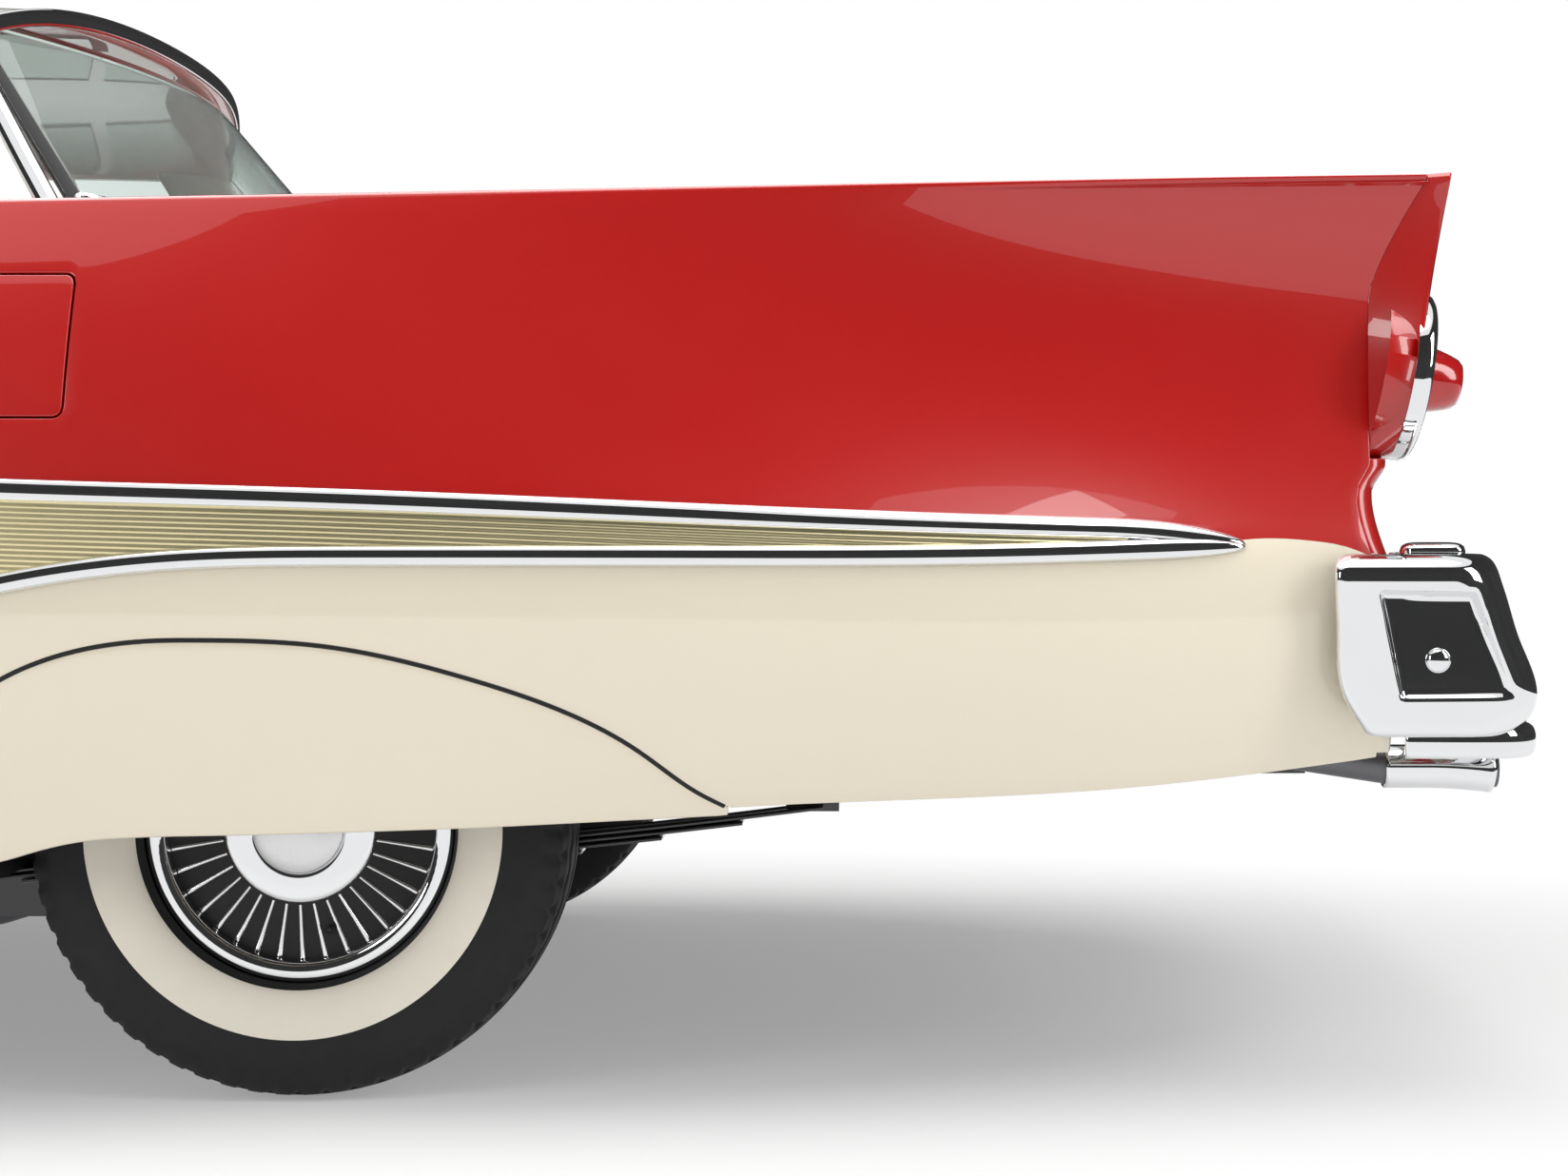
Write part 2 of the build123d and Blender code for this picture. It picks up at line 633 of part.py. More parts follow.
GRILLE_HALF = HALF_WIDTH - 388.0
FRONT_PANEL_THICKNESS = 28.0
RAIL_FRONT_TOP = 330.0
BRACKET_Y = 405.0
GRILLE_LOW_Z = 560.0
GRILLE_HIGH_Z = 800.0
with BuildPart() as front_panel:
    with BuildSketch(Plane.YZ.offset(FENDER_FRONT_X)):
        outer, inner = -half(178), POD_Y - POD_RADIUS - PANEL_GAP
        half_outline = [(outer, 370), (outer, 560), (inner, 640), (inner, 895)]
        Polygon(*half_outline, *[(-y, z) for y, z in reversed(half_outline)], align=None)
        with Locations((0, (GRILLE_LOW_Z + GRILLE_HIGH_Z) / 2)):
            Rectangle(2 * GRILLE_HALF, GRILLE_HIGH_Z - GRILLE_LOW_Z, mode=Mode.SUBTRACT)
        with Locations((-BRACKET_Y, RAIL_FRONT_TOP + SEAT_GAP), (BRACKET_Y, RAIL_FRONT_TOP + SEAT_GAP)):
            Rectangle(60, 60, align=(Align.CENTER, Align.MIN))
    extrude(amount=FRONT_PANEL_THICKNESS)
write(front_panel.part, "front_panel")

GRILLE_BARS = 5
GRILLE_POSTS = 15
with BuildPart() as grille:
    with BuildSketch(Plane.YZ.offset(FENDER_FRONT_X - 10)):
        wide, high = 2 * GRILLE_HALF - 2 * SEAT_GAP, GRILLE_HIGH_Z - GRILLE_LOW_Z - 2 * SEAT_GAP
        with Locations((0, (GRILLE_LOW_Z + GRILLE_HIGH_Z) / 2)):
            Rectangle(wide, high)
            Rectangle(wide - 40, high - 40, mode=Mode.SUBTRACT)
            with GridLocations(0, high / GRILLE_BARS, 1, GRILLE_BARS):
                Rectangle(wide, 9)
            with GridLocations(wide / GRILLE_POSTS, 0, GRILLE_POSTS, 1):
                Rectangle(7, high)
    extrude(amount=30)
write(grille.part, "grille")

# Lamps
with BuildPart() as headlamp:
    with BuildSketch(Plane.YZ.offset(POD_X + LAMP_RECESS - SEAT_GAP)):
        with Locations((-POD_Y, POD_Z)):
            Circle(HEADLAMP_RADIUS - SEAT_GAP)
    extrude(amount=-30)
    fillet(headlamp.edges().group_by(Axis.X)[0], 14)
write_both(headlamp.part, "headlamps")

with BuildPart() as lamp_rim:
    with BuildSketch(LAMP_PLANE.offset(SEAT_GAP)):
        Circle(LAMP_RADIUS)
        Circle(LENS_RADIUS + SEAT_GAP, mode=Mode.SUBTRACT)
    extrude(amount=BEZEL_DEPTH)
write_both(lamp_rim.part, "tail_lamp_rims")

with BuildPart() as tail_lamp:
    with BuildSketch(LAMP_PLANE.offset(SEAT_GAP)):
        Circle(LENS_RADIUS)
    extrude(amount=BEZEL_DEPTH - 6)
    with BuildSketch(LAMP_PLANE.offset(BEZEL_DEPTH - 8)):
        Circle(CONE_RADIUS + 12)
    with BuildSketch(LAMP_PLANE.offset(CONE_LENGTH)):
        Circle(CONE_RADIUS - 14)
    loft()
write_both(tail_lamp.part, "tail_lamps")

# Bumpers. Rear wing levels: z, front x, outer y, rear x
BUMPER_SHEET = 22.0
WING_LEVELS = [
    (458, TAIL_X - 220, -half(28), TAIL_X - 27),
    (505, TAIL_X - 228, -half(12), TAIL_X),
    (640, TAIL_X - 251, -half(12), TAIL_X - 35),
    (673, TAIL_X - 243, -half(18), TAIL_X - 53),
]
WING_END_Y = HALF_WIDTH - 418.0
# Sunk panel in each wing's outer face, seen from the side
WING_RECESS = [(-208, 626), (-92, 623), (-65, 512), (-175, 516)]
RECESS_DEPTH = 8.0
RAIL_END_X = TAIL_X - 212.0
with BuildPart() as rear_bumper:
    for z, front, outer, rear in WING_LEVELS:
        with BuildSketch(Plane.XY.offset(z)):
            with BuildLine():
                corner = 90.0
                bend = corner * (1 - cos(radians(45)))
                inner = corner - BUMPER_SHEET
                tuck = BUMPER_SHEET + inner * (1 - cos(radians(45)))
                turn, back, inside = rear - corner, rear - BUMPER_SHEET, BUMPER_SHEET - outer
                Line((front, -outer), (turn, -outer))
                ThreePointArc((turn, -outer), (rear - bend, bend - outer), (rear, corner - outer))
                Polyline((rear, corner - outer), (rear, -WING_END_Y), (back, -WING_END_Y))
                Line((back, -WING_END_Y), (back, corner - outer))
                ThreePointArc((back, corner - outer), (rear - tuck, tuck - outer), (turn, inside))
                Polyline((turn, inside), (front, inside), (front, -outer))
            make_face()
    loft(ruled=True)
    recess_y = half(12) + RECESS_DEPTH
    add(prism_xz([(TAIL_X + x, z) for x, z in WING_RECESS], -FAR, recess_y), mode=Mode.SUBTRACT)
    mirror(about=Plane.XZ)
    with Locations((TAIL_X - 59, 0, 500)):
        Box(30, 2 * WING_END_Y + 20, 110)
    with Locations((TAIL_X - 53, 0, 449)):
        Box(40, -2 * half(198), 20)
    for y in (-BRACKET_Y, BRACKET_Y):
        with Locations((RAIL_END_X + SEAT_GAP, y, 385)):
            Box(150, 60, 130, align=LOW)
write(rear_bumper.part, "rear_bumper")

BRACKET_REAR_X = FENDER_FRONT_X - SEAT_GAP
BUMPER_BRACKET = [
    (NOSE_X + 40, BUMPER_LOW_Z + 50),
    (NOSE_X + 40, BUMPER_LOW_Z + 5),
    (BRACKET_REAR_X, RAIL_FRONT_TOP - 75),
    (BRACKET_REAR_X, RAIL_FRONT_TOP - 30),
]
with BuildPart() as front_bumper:
    with BuildSketch(Plane.XY.offset(BUMPER_LOW_Z)):
        with BuildLine():
            tip, turn, reach = NOSE_X + 382, NOSE_X + 212, -half(18)
            thin = BUMPER_SHEET
            Line((tip, -reach - 14), (turn, -reach))
            ThreePointArc((turn, -reach), (NOSE_X, 0), (turn, reach))
            Polyline((turn, reach), (tip, reach + 14), (tip, reach + 14 - thin), (turn, reach - thin))
            ThreePointArc((turn, reach - thin), (NOSE_X + thin, 0), (turn, thin - reach))
            Polyline((turn, thin - reach), (tip, thin - reach - 14), (tip, -reach - 14))
        make_face()
    extrude(amount=BUMPER_TOP_Z - BUMPER_LOW_Z)
    for y in (-BRACKET_Y, BRACKET_Y):
        add(prism_xz(BUMPER_BRACKET, y - 30, y + 30))
write(front_bumper.part, "front_bumper")

# Floor: pan with tunnel and sills, firewall, rear bulkhead, boot floor and wheelhouses
FLOOR_Z = 262.0
SHEET = 8.0
FIREWALL_X = FRONT_AXLE_X + 800.0
BULKHEAD_X = REAR_AXLE_X - 405.0
BULKHEAD_TOP = wall_top(DOOR_REAR_S)[1] - SHELF_THICKNESS - SEAT_GAP
HOUSE = (395.0, 585.0, -half(120), 700.0)
SILL = (-half(123), -half(56), 215.0, 284.0)


def span_box(x0, x1, y0, y1, z0, z1, mode=Mode.ADD):
    """A box from its limits."""
    with Locations(((x0 + x1) / 2, (y0 + y1) / 2, (z0 + z1) / 2)):
        Box(x1 - x0, y1 - y0, z1 - z0, mode=mode)


with BuildPart() as floor_pan:
    span_box(FIREWALL_X, BULKHEAD_X, half(118), -half(118), FLOOR_Z, FLOOR_Z + SHEET)
    for side in (-1, 1):
        low, high = sorted((side * SILL[0], side * SILL[1]))
        span_box(FRONT_AXLE_X + 430, REAR_AXLE_X - 470, low, high, SILL[2], SILL[3])
        low, high = sorted((side * (SILL[0] + 15), side * (SILL[1] - 20)))
        for x, s in ((DOOR_FRONT_X - 70, DOOR_FRONT_S), (DOOR_REAR_X + 10, DOOR_REAR_S)):
            span_box(x, x + 45, low, high, SILL[3] - 10, s.bottom_z - LOFT_GAP)
    for x, outline in (
        (FIREWALL_X, [(-half(128), FLOOR_Z), (-half(88), 720), (-half(186), 990)]),
        (BULKHEAD_X, [(-half(138), FLOOR_Z), (-half(98), 720), (-half(215), BULKHEAD_TOP)]),
    ):
        with BuildSketch(Plane.YZ.offset(x)):
            Polygon(*outline, *[(-y, z) for y, z in reversed(outline)], align=None)
        extrude(amount=SHEET)
    boot = [(BULKHEAD_X, HOUSE[2]), (REAR_S.x, HOUSE[2]), (TAIL_PANEL_X - SEAT_GAP, -half(183))]
    add(prism_xy([*boot, *[(x, -y) for x, y in reversed(boot)]], BOOT_Z, BOOT_Z + 6))
    reach, near, far, top = HOUSE
    for side in (-1, 1):
        low, high = sorted((side * near, side * far))
        span_box(REAR_AXLE_X - reach, REAR_AXLE_X + reach, low, high, BOOT_Z, top)
    for side in (-1, 1):
        low, high = sorted((side * (near + 6), side * (far + 60)))
        span_box(REAR_AXLE_X - reach + 6, REAR_AXLE_X + reach - 6, low, high, 100, top - 6, Mode.SUBTRACT)
    span_box(FIREWALL_X, BULKHEAD_X, -170, 170, FLOOR_Z, 400)
    span_box(FIREWALL_X - 20, BULKHEAD_X + 20, -162, 162, 200, 392, Mode.SUBTRACT)
write(floor_pan.part, "floor_pan")

# Chassis: two rails with kick-ups, cross members, spring hangers and front suspension arms
RAIL_TOP = [
    (FENDER_FRONT_X, RAIL_FRONT_TOP),
    (FRONT_AXLE_X + 350, RAIL_FRONT_TOP),
    (FRONT_AXLE_X + 600, 255),
    (REAR_AXLE_X - 392, 255),
    (REAR_AXLE_X - 217, 480),
    (REAR_AXLE_X + 330, 480),
    (REAR_AXLE_X + 600, 440),
    (RAIL_END_X, 440),
]
RAIL_BOTTOM = [
    (RAIL_END_X, 370),
    (REAR_AXLE_X + 600, 370),
    (REAR_AXLE_X + 300, 410),
    (REAR_AXLE_X - 177, 410),
    (REAR_AXLE_X - 377, 175),
    (FRONT_AXLE_X + 580, 175),
    (FRONT_AXLE_X + 330, 250),
    (FENDER_FRONT_X, 250),
]
# Cross members: x, lower and upper height
CROSS = [
    (FENDER_FRONT_X + 130, 250, 330),
    (FRONT_AXLE_X + 1300, 195, 255),
    (REAR_AXLE_X - 597, 195, 255),
    (REAR_AXLE_X + 623, 370, 440),
    (TAIL_X - 302, 370, 440),
]
BODY_MOUNTS = (FRONT_AXLE_X + 950, FRONT_AXLE_X + 1600, REAR_AXLE_X - 697)
RAIL_Y = (BRACKET_Y - 35, BRACKET_Y + 35)
KINGPIN_Y = FRONT_TRACK / 2 - 115.0
KINGPIN_RADIUS = 12.0
BOSS_OUT = 140.0
BOSS_IN = 90.0
SPRING_Y = (550.0, 610.0)
with BuildPart() as chassis:
    rail = prism_xz(RAIL_TOP + RAIL_BOTTOM, RAIL_Y[0], RAIL_Y[1])
    add(rail)
    add(mirror(rail, about=Plane.XZ))
    for x in BODY_MOUNTS:
        for y in (-BRACKET_Y, BRACKET_Y):
            span_box(x - 40, x + 40, y - 30, y + 30, 250, FLOOR_Z - SEAT_GAP)
    for x, low, high in CROSS:
        span_box(x - 40, x + 40, -RAIL_Y[0] - 10, RAIL_Y[0] + 10, low, high)
    span_box(FRONT_AXLE_X - 70, FRONT_AXLE_X + 70, -RAIL_Y[0] - 10, RAIL_Y[0] + 10, 170, 260)
    for side in (-1, 1):
        low, high = sorted((side * RAIL_Y[0], side * (RAIL_Y[1] - 5)))
        span_box(FRONT_AXLE_X - 60, FRONT_AXLE_X + 60, low, high, 165, 520)
        low, high = sorted((side * (RAIL_Y[0] + 10), side * KINGPIN_Y))
        up, down = TYRE_RADIUS + BOSS_OUT + SEAT_GAP, TYRE_RADIUS - BOSS_OUT - SEAT_GAP
        span_box(FRONT_AXLE_X - 22, FRONT_AXLE_X + 22, low, high, up, up + 20)
        span_box(FRONT_AXLE_X - 22, FRONT_AXLE_X + 22, low, high, down - 20, down)
        with Locations((FRONT_AXLE_X, side * KINGPIN_Y, up + 20)):
            Cylinder(22, 20, align=(Align.CENTER, Align.CENTER, Align.MAX))
            Cylinder(KINGPIN_RADIUS, 60, align=(Align.CENTER, Align.CENTER, Align.MAX))
        with Locations((FRONT_AXLE_X, side * KINGPIN_Y, down - 20)):
            Cylinder(22, 20, align=(Align.CENTER, Align.CENTER, Align.MIN))
            Cylinder(KINGPIN_RADIUS, 60, align=(Align.CENTER, Align.CENTER, Align.MIN))
        low, high = sorted((side * (RAIL_Y[1] - 10), side * (SPRING_Y[0] - SEAT_GAP)))
        span_box(REAR_AXLE_X - 680, REAR_AXLE_X - 600, low, high, 180, 257)
        span_box(REAR_AXLE_X + 590, REAR_AXLE_X + 660, low, high, 330, 440)
write(chassis.part, "chassis_frame")

# Rear axle with its drums, final drive and propeller shaft; leaf springs under it
AXLE_Z = TYRE_RADIUS
AXLE_TUBE = 38.0
SPRING_THICKNESS = 36.0


def across(x, z, radius, y0, y1):
    """A round bar across the car, from y0 to y1."""
    with BuildPart() as bar:
        with BuildSketch(Plane.XZ.offset(-min(y0, y1))):
            with Locations((x, z)):
                Circle(radius)
        extrude(amount=-abs(y1 - y0))
    return bar.part


def wheel_end(x, side, wheel_y):
    """Brake drum and spindle that carry a wheel."""
    face = side * (wheel_y + FLANGE_A - SEAT_GAP)
    drum = across(x, AXLE_Z, DRUM_RADIUS, face, face - side * 54)
    return drum + across(x, AXLE_Z, SPINDLE_RADIUS - PIN_GAP, face, face + side * 20)


PROP_FRONT_X = FRONT_AXLE_X + 1180.0
with BuildPart() as rear_axle:
    add(across(REAR_AXLE_X, AXLE_Z, AXLE_TUBE, -REAR_WHEEL_Y + 50, REAR_WHEEL_Y - 50))
    with Locations((REAR_AXLE_X, 0, AXLE_Z)):
        Sphere(128)
    for side in (-1, 1):
        add(wheel_end(REAR_AXLE_X, side, REAR_WHEEL_Y))
    with BuildSketch(Plane.YZ.offset(PROP_FRONT_X)):
        with Locations((0, 300)):
            Circle(36)
    with BuildSketch(Plane.YZ.offset(REAR_AXLE_X - 60)):
        with Locations((0, AXLE_Z)):
            Circle(40)
    loft()
write(rear_axle.part, "rear_axle")

with BuildPart() as spring:
    with BuildSketch(Plane.XZ.offset(SPRING_Y[1])):
        with BuildLine():
            top = AXLE_Z - AXLE_TUBE - SEAT_GAP
            ends = [(REAR_AXLE_X - 640, 236), (REAR_AXLE_X + 640, 352)]
            ThreePointArc(ends[0], (REAR_AXLE_X, top), ends[1])
            lower = [(x, z - SPRING_THICKNESS) for x, z in ends]
            Line(ends[1], lower[1])
            ThreePointArc(lower[1], (REAR_AXLE_X, top - SPRING_THICKNESS), lower[0])
            Line(lower[0], ends[0])
        make_face()
    extrude(amount=-(SPRING_Y[1] - SPRING_Y[0]))
write_both(spring.part, "leaf_springs")

# Engine, one plain block with heads, air cleaner and gearbox
with BuildPart() as engine:
    span_box(FRONT_AXLE_X - 260, FRONT_AXLE_X + 430, -210, 210, 330, 700)
    span_box(FRONT_AXLE_X - 230, FRONT_AXLE_X + 400, -300, -120, 600, 790)
    span_box(FRONT_AXLE_X - 230, FRONT_AXLE_X + 400, 120, 300, 600, 790)
    span_box(FRONT_AXLE_X - 180, FRONT_AXLE_X + 330, -120, 120, 700, 820)
    span_box(FRONT_AXLE_X - 60, FRONT_AXLE_X + 380, -120, 120, 260 + SEAT_GAP, 330)
    with Locations((FRONT_AXLE_X + 60, 0, 880)):
        Cylinder(190, 120)
    with Locations(Location((FRONT_AXLE_X - 275, 0, 560), (0, 90, 0))):
        Cylinder(110, 30)
    with BuildSketch(Plane.YZ.offset(FRONT_AXLE_X + 430)):
        with Locations((0, 330)):
            Circle(190)
    with BuildSketch(Plane.YZ.offset(FRONT_AXLE_X + 780)):
        with Locations((0, 300)):
            Circle(82)
    with BuildSketch(Plane.YZ.offset(PROP_FRONT_X - SEAT_GAP)):
        with Locations((0, 300)):
            Circle(60)
    loft(ruled=True)
write(engine.part, "engine")

# Exhaust: a pipe and a silencer on each side, out under the bumper's ends
PIPE_RADIUS = 24.0
TIP_X = TAIL_X - 25.0
TIP_Y = HALF_WIDTH - 228.0
TIP_Z = 406.0
with BuildPart() as exhaust:
    with BuildLine() as route:
        FilletPolyline(
            (FRONT_AXLE_X + 300, -330, 560),
            (FRONT_AXLE_X + 480, -330, 165),
            (REAR_AXLE_X - 540, -300, 165),
            (REAR_AXLE_X - 380, -300, 215),
            (REAR_AXLE_X - 180, -300, 425),
            (REAR_AXLE_X + 250, -300, 425),
            (REAR_AXLE_X + 560, -300, 485),
            (REAR_AXLE_X + 1000, -640, 485),
            (TIP_X - 330, -TIP_Y, TIP_Z + 34),
            (TIP_X - 110, -TIP_Y, TIP_Z),
            (TIP_X, -TIP_Y, TIP_Z),
            radius=75,
        )
    with BuildSketch(Plane(origin=route.line @ 0, z_dir=route.line % 0)):
        Circle(PIPE_RADIUS)
    sweep()
    span_box(FRONT_AXLE_X + 1480, FRONT_AXLE_X + 2080, -360, -190, 120, 236)
    for x in (FRONT_AXLE_X + 1500, FRONT_AXLE_X + 2020):
        span_box(x, x + 40, SEAT_GAP - RAIL_Y[0], -355, 190, 230)
    with BuildSketch(Plane.YZ.offset(TIP_X)):
        with Locations((-TIP_Y, TIP_Z)):
            Circle(PIPE_RADIUS - 4)
    extrude(amount=-60, mode=Mode.SUBTRACT)
write_both(exhaust.part, "exhaust")

# Cabin: seats, dashboard with steering column, steering wheel
with BuildPart() as front_seat:
    outline = [(1450, 300), (1960, 300), (2060, 880), (1960, 880), (1900, 490), (1450, 520)]
    add(prism_xz([(FRONT_AXLE_X + x, z) for x, z in outline], half(288), -half(288)))
    span_box(FRONT_AXLE_X + 1420, FRONT_AXLE_X + 2000, -176, 176, 250, 406, Mode.SUBTRACT)
    for side in (-1, 1):
        low, high = sorted((side * half(298), side * half(358)))
        span_box(FRONT_AXLE_X + 1500, FRONT_AXLE_X + 1900, low, high, FLOOR_Z + SHEET + SEAT_GAP, 310)
    fillet(front_seat.edges().filter_by(Axis.Y).group_by(Axis.Z)[-1], 30)
write(front_seat.part, "front_seat")

with BuildPart() as rear_seat:
    foot_z, back_x = FLOOR_Z + SHEET + SEAT_GAP, BULKHEAD_X - 7
    outline = [(back_x - 518, foot_z), (back_x, foot_z), (back_x, 880), (back_x - 58, 880)]
    outline += [(back_x - 148, 500), (back_x - 518, 520)]
    add(prism_xz(outline, half(298), -half(298)))
    span_box(REAR_AXLE_X - 960, REAR_AXLE_X - 400, -176, 176, 250, 406, Mode.SUBTRACT)
write(rear_seat.part, "rear_seat")

COLUMN_RADIUS = 28.0
WHEEL_HUB = (FRONT_AXLE_X + 1330.0, half(598), 895.0)
COLUMN_TILT = 28.0
COLUMN_DIR = Vector(cos(radians(COLUMN_TILT)), 0, sin(radians(COLUMN_TILT)))
RIM_CIRCLE = 205.0
RIM_BAR = 11.0
COLUMN_PLANE = Plane(origin=WHEEL_HUB, x_dir=(0, 1, 0), z_dir=COLUMN_DIR)
with BuildPart() as dashboard:
    outline = [(1000, 780), (1120, 760), (1190, 880), (1180, 985), (1000, 1000)]
    add(prism_xz([(FRONT_AXLE_X + x, z) for x, z in outline], half(238), -half(238)))
    with BuildSketch(COLUMN_PLANE.offset(-30)):
        Circle(COLUMN_RADIUS)
    extrude(amount=-560)
    with BuildSketch(COLUMN_PLANE.offset(-40)):
        Circle(12)
    extrude(amount=60)
    span_box(FRONT_AXLE_X + 700, FIREWALL_X + SHEET + SEAT_GAP, -700, 0, 300, 990, Mode.SUBTRACT)
    for y in (half(378), -half(378)):
        span_box(FIREWALL_X + SHEET + SEAT_GAP, FRONT_AXLE_X + 1010, y - 20, y + 20, 860, 900)
write(dashboard.part, "dashboard")

RIM_SIDE = Vector(*WHEEL_HUB) + Vector(0, RIM_CIRCLE, 0)
with BuildPart() as steering_wheel:
    with BuildSketch(Plane(origin=RIM_SIDE, x_dir=(0, 1, 0), z_dir=COLUMN_DIR.cross(Vector(0, 1, 0)))):
        Circle(RIM_BAR)
    revolve(axis=Axis(WHEEL_HUB, COLUMN_DIR))
    with BuildSketch(COLUMN_PLANE.offset(-28)):
        Circle(36)
    extrude(amount=52)
    with BuildSketch(COLUMN_PLANE.offset(-6)):
        for turn in (0, 60, 120):
            Rectangle(2 * RIM_CIRCLE, 16, rotation=turn)
    extrude(amount=10)
    with BuildSketch(COLUMN_PLANE.offset(-28)):
        Circle(12 + PIN_GAP)
    extrude(amount=48 + SEAT_GAP, mode=Mode.SUBTRACT)
write(steering_wheel.part, "steering_wheel")

# Front knuckles
with BuildPart() as knuckle:
    add(wheel_end(FRONT_AXLE_X, -1, FRONT_WHEEL_Y))
    with Locations((FRONT_AXLE_X, -KINGPIN_Y + 2, AXLE_Z)):
        Box(68, FRONT_WHEEL_Y - 53 - KINGPIN_Y, 120, align=(Align.CENTER, Align.MAX, Align.CENTER))
    with Locations((FRONT_AXLE_X, -KINGPIN_Y - 1, AXLE_Z)):
        Box(44, 46, 2 * BOSS_OUT)
    for z in (AXLE_Z - BOSS_OUT, AXLE_Z + BOSS_OUT):
        with Locations((FRONT_AXLE_X, -KINGPIN_Y, z)):
            Cylinder(KINGPIN_RADIUS + PIN_GAP, 2 * 44, mode=Mode.SUBTRACT)
write_pair(knuckle.part, "knuckle")

# Wheels and tyres, drawn as radius and distance out along the axle


def turn_plane(x, y):
    """Plane through a left-hand wheel's axis: first along the radius, then outwards."""
    return Plane(origin=(x, -y, AXLE_Z), x_dir=(0, 0, 1), z_dir=(1, 0, 0))


def tyre(x, y):
    with BuildPart() as ring:
        with BuildSketch(turn_plane(x, y)):
            with BuildLine():
                shoulder = TYRE_RADIUS - 13
                middle, under = (BEAD_RADIUS + shoulder) / 2, TYRE_RADIUS - TREAD_DEPTH
                bead, tread, heel = BEAD_HALF, TREAD_HALF, BEAD_RADIUS + 5.7
                ThreePointArc((BEAD_RADIUS, bead), (middle, TYRE_WIDTH / 2), (shoulder, tread))
                ThreePointArc((shoulder, tread), (TYRE_RADIUS, 0), (shoulder, -tread))
                ThreePointArc((shoulder, -tread), (middle, -TYRE_WIDTH / 2), (BEAD_RADIUS, -bead))
                Polyline((BEAD_RADIUS, -bead), (heel, 14 - bead), (under, 16 - tread))
                Line((under, 16 - tread), (under, tread - 16))
                Polyline((under, tread - 16), (heel, bead - 14), (BEAD_RADIUS, bead))
            make_face()
        revolve(axis=Axis((x, -y, AXLE_Z), (0, 1, 0)))
    return ring.part


LIP_RADIUS = BEAD_RADIUS - SEAT_GAP
WELL_RADIUS = 166.0
BARREL = [
    (WELL_RADIUS, -BEAD_HALF - 3),
    (LIP_RADIUS, -BEAD_HALF - 3),
    (LIP_RADIUS, 0.5 - BEAD_HALF),
    (WELL_RADIUS + 13, 4 - BEAD_HALF),
    (WELL_RADIUS + 13, BEAD_HALF - 4),
    (LIP_RADIUS, BEAD_HALF - 0.5),
    (LIP_RADIUS, BEAD_HALF + 3),
    (WELL_RADIUS, BEAD_HALF + 3),
    (WELL_RADIUS, 4),
    (SPINDLE_RADIUS, 4),
    (SPINDLE_RADIUS, FLANGE_A),
    (WELL_RADIUS, FLANGE_A),
]
# The cover over the rim: a dished ring round a ribbed recess, a raised ring and a cone
COVER = [
    (0, 58),
    (160, 58),
    (WELL_RADIUS, 66),
    (186, BEAD_HALF + 3.5),
    (186, 79),
    (168, 81),
    (160, 68),
    (92, 66),
    (86, 80),
    (60, 82),
    (54, 76),
    (20, 92),
    (0, 92),
]


def wheel(x, y):
    with BuildPart() as disc:
        with BuildSketch(turn_plane(x, y)):
            Polygon(*BARREL, align=None)
        revolve(axis=Axis((x, -y, AXLE_Z), (0, 1, 0)))
        with BuildSketch(turn_plane(x, y)):
            Polygon(*COVER, align=None)
        revolve(axis=Axis((x, -y, AXLE_Z), (0, 1, 0)))
        face = Plane(origin=(x, -y - 64, AXLE_Z), x_dir=(1, 0, 0), z_dir=(0, -1, 0))
        with BuildSketch(face):
            with PolarLocations(125, COVER_RIBS):
                Rectangle(78, 3)
        extrude(amount=10)
    return disc.part


for name, x, y in (("front", FRONT_AXLE_X, FRONT_WHEEL_Y), ("rear", REAR_AXLE_X, REAR_WHEEL_Y)):
    write_pair(tyre(x, y), f"tyre_{name}")
    write_pair(wheel(x, y), f"wheel_{name}")
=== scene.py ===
# %% [markdown]
# # A finned two-door hardtop
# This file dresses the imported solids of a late-1950s car: red over cream paint, bright spears with a
# gold ribbed insert, whitewall tyres and a long high deck. The solids give every place and every joint.
# Most pieces here are surfaces worked out with numpy, because chrome and gloss paint show each facet,
# and a formula gives a smooth skin at any density.

# %% The frame and its main places
import json

import bmesh
import bpy
import numpy as np
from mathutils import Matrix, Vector


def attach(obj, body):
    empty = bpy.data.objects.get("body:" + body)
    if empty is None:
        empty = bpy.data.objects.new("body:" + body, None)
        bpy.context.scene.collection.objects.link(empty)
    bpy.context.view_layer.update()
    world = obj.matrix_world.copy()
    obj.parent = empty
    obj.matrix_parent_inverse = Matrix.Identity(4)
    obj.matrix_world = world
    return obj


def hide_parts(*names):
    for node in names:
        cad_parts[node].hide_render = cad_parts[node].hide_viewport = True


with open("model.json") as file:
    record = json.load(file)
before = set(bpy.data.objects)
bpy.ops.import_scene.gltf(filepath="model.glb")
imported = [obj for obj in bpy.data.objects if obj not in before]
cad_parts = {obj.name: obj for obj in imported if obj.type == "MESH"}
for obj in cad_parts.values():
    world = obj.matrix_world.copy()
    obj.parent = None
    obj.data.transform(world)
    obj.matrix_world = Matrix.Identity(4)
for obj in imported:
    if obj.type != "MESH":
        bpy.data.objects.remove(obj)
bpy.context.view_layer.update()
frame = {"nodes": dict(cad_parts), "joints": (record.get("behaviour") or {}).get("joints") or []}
node = frame["nodes"]
place = {joint["name"]: np.array(joint["pos_m"]) for joint in frame["joints"]}
REAR = place["wheel_rear_left_spin"][0]
FRONT = place["wheel_front_left_spin"][0]
AXLE_Z = place["wheel_rear_left_spin"][2]
MM = 0.001
print("rear axle", REAR, "front axle", FRONT, "nodes", len(node))

# %% [markdown]
# ## From arrays to meshes
# Each piece starts as a grid of points, one row of the array for each step along the piece. The helper
# below turns points and quads into an object that rides on a body of the car. Smooth shading is set
# for all faces: edges are rounded in the shapes themselves.


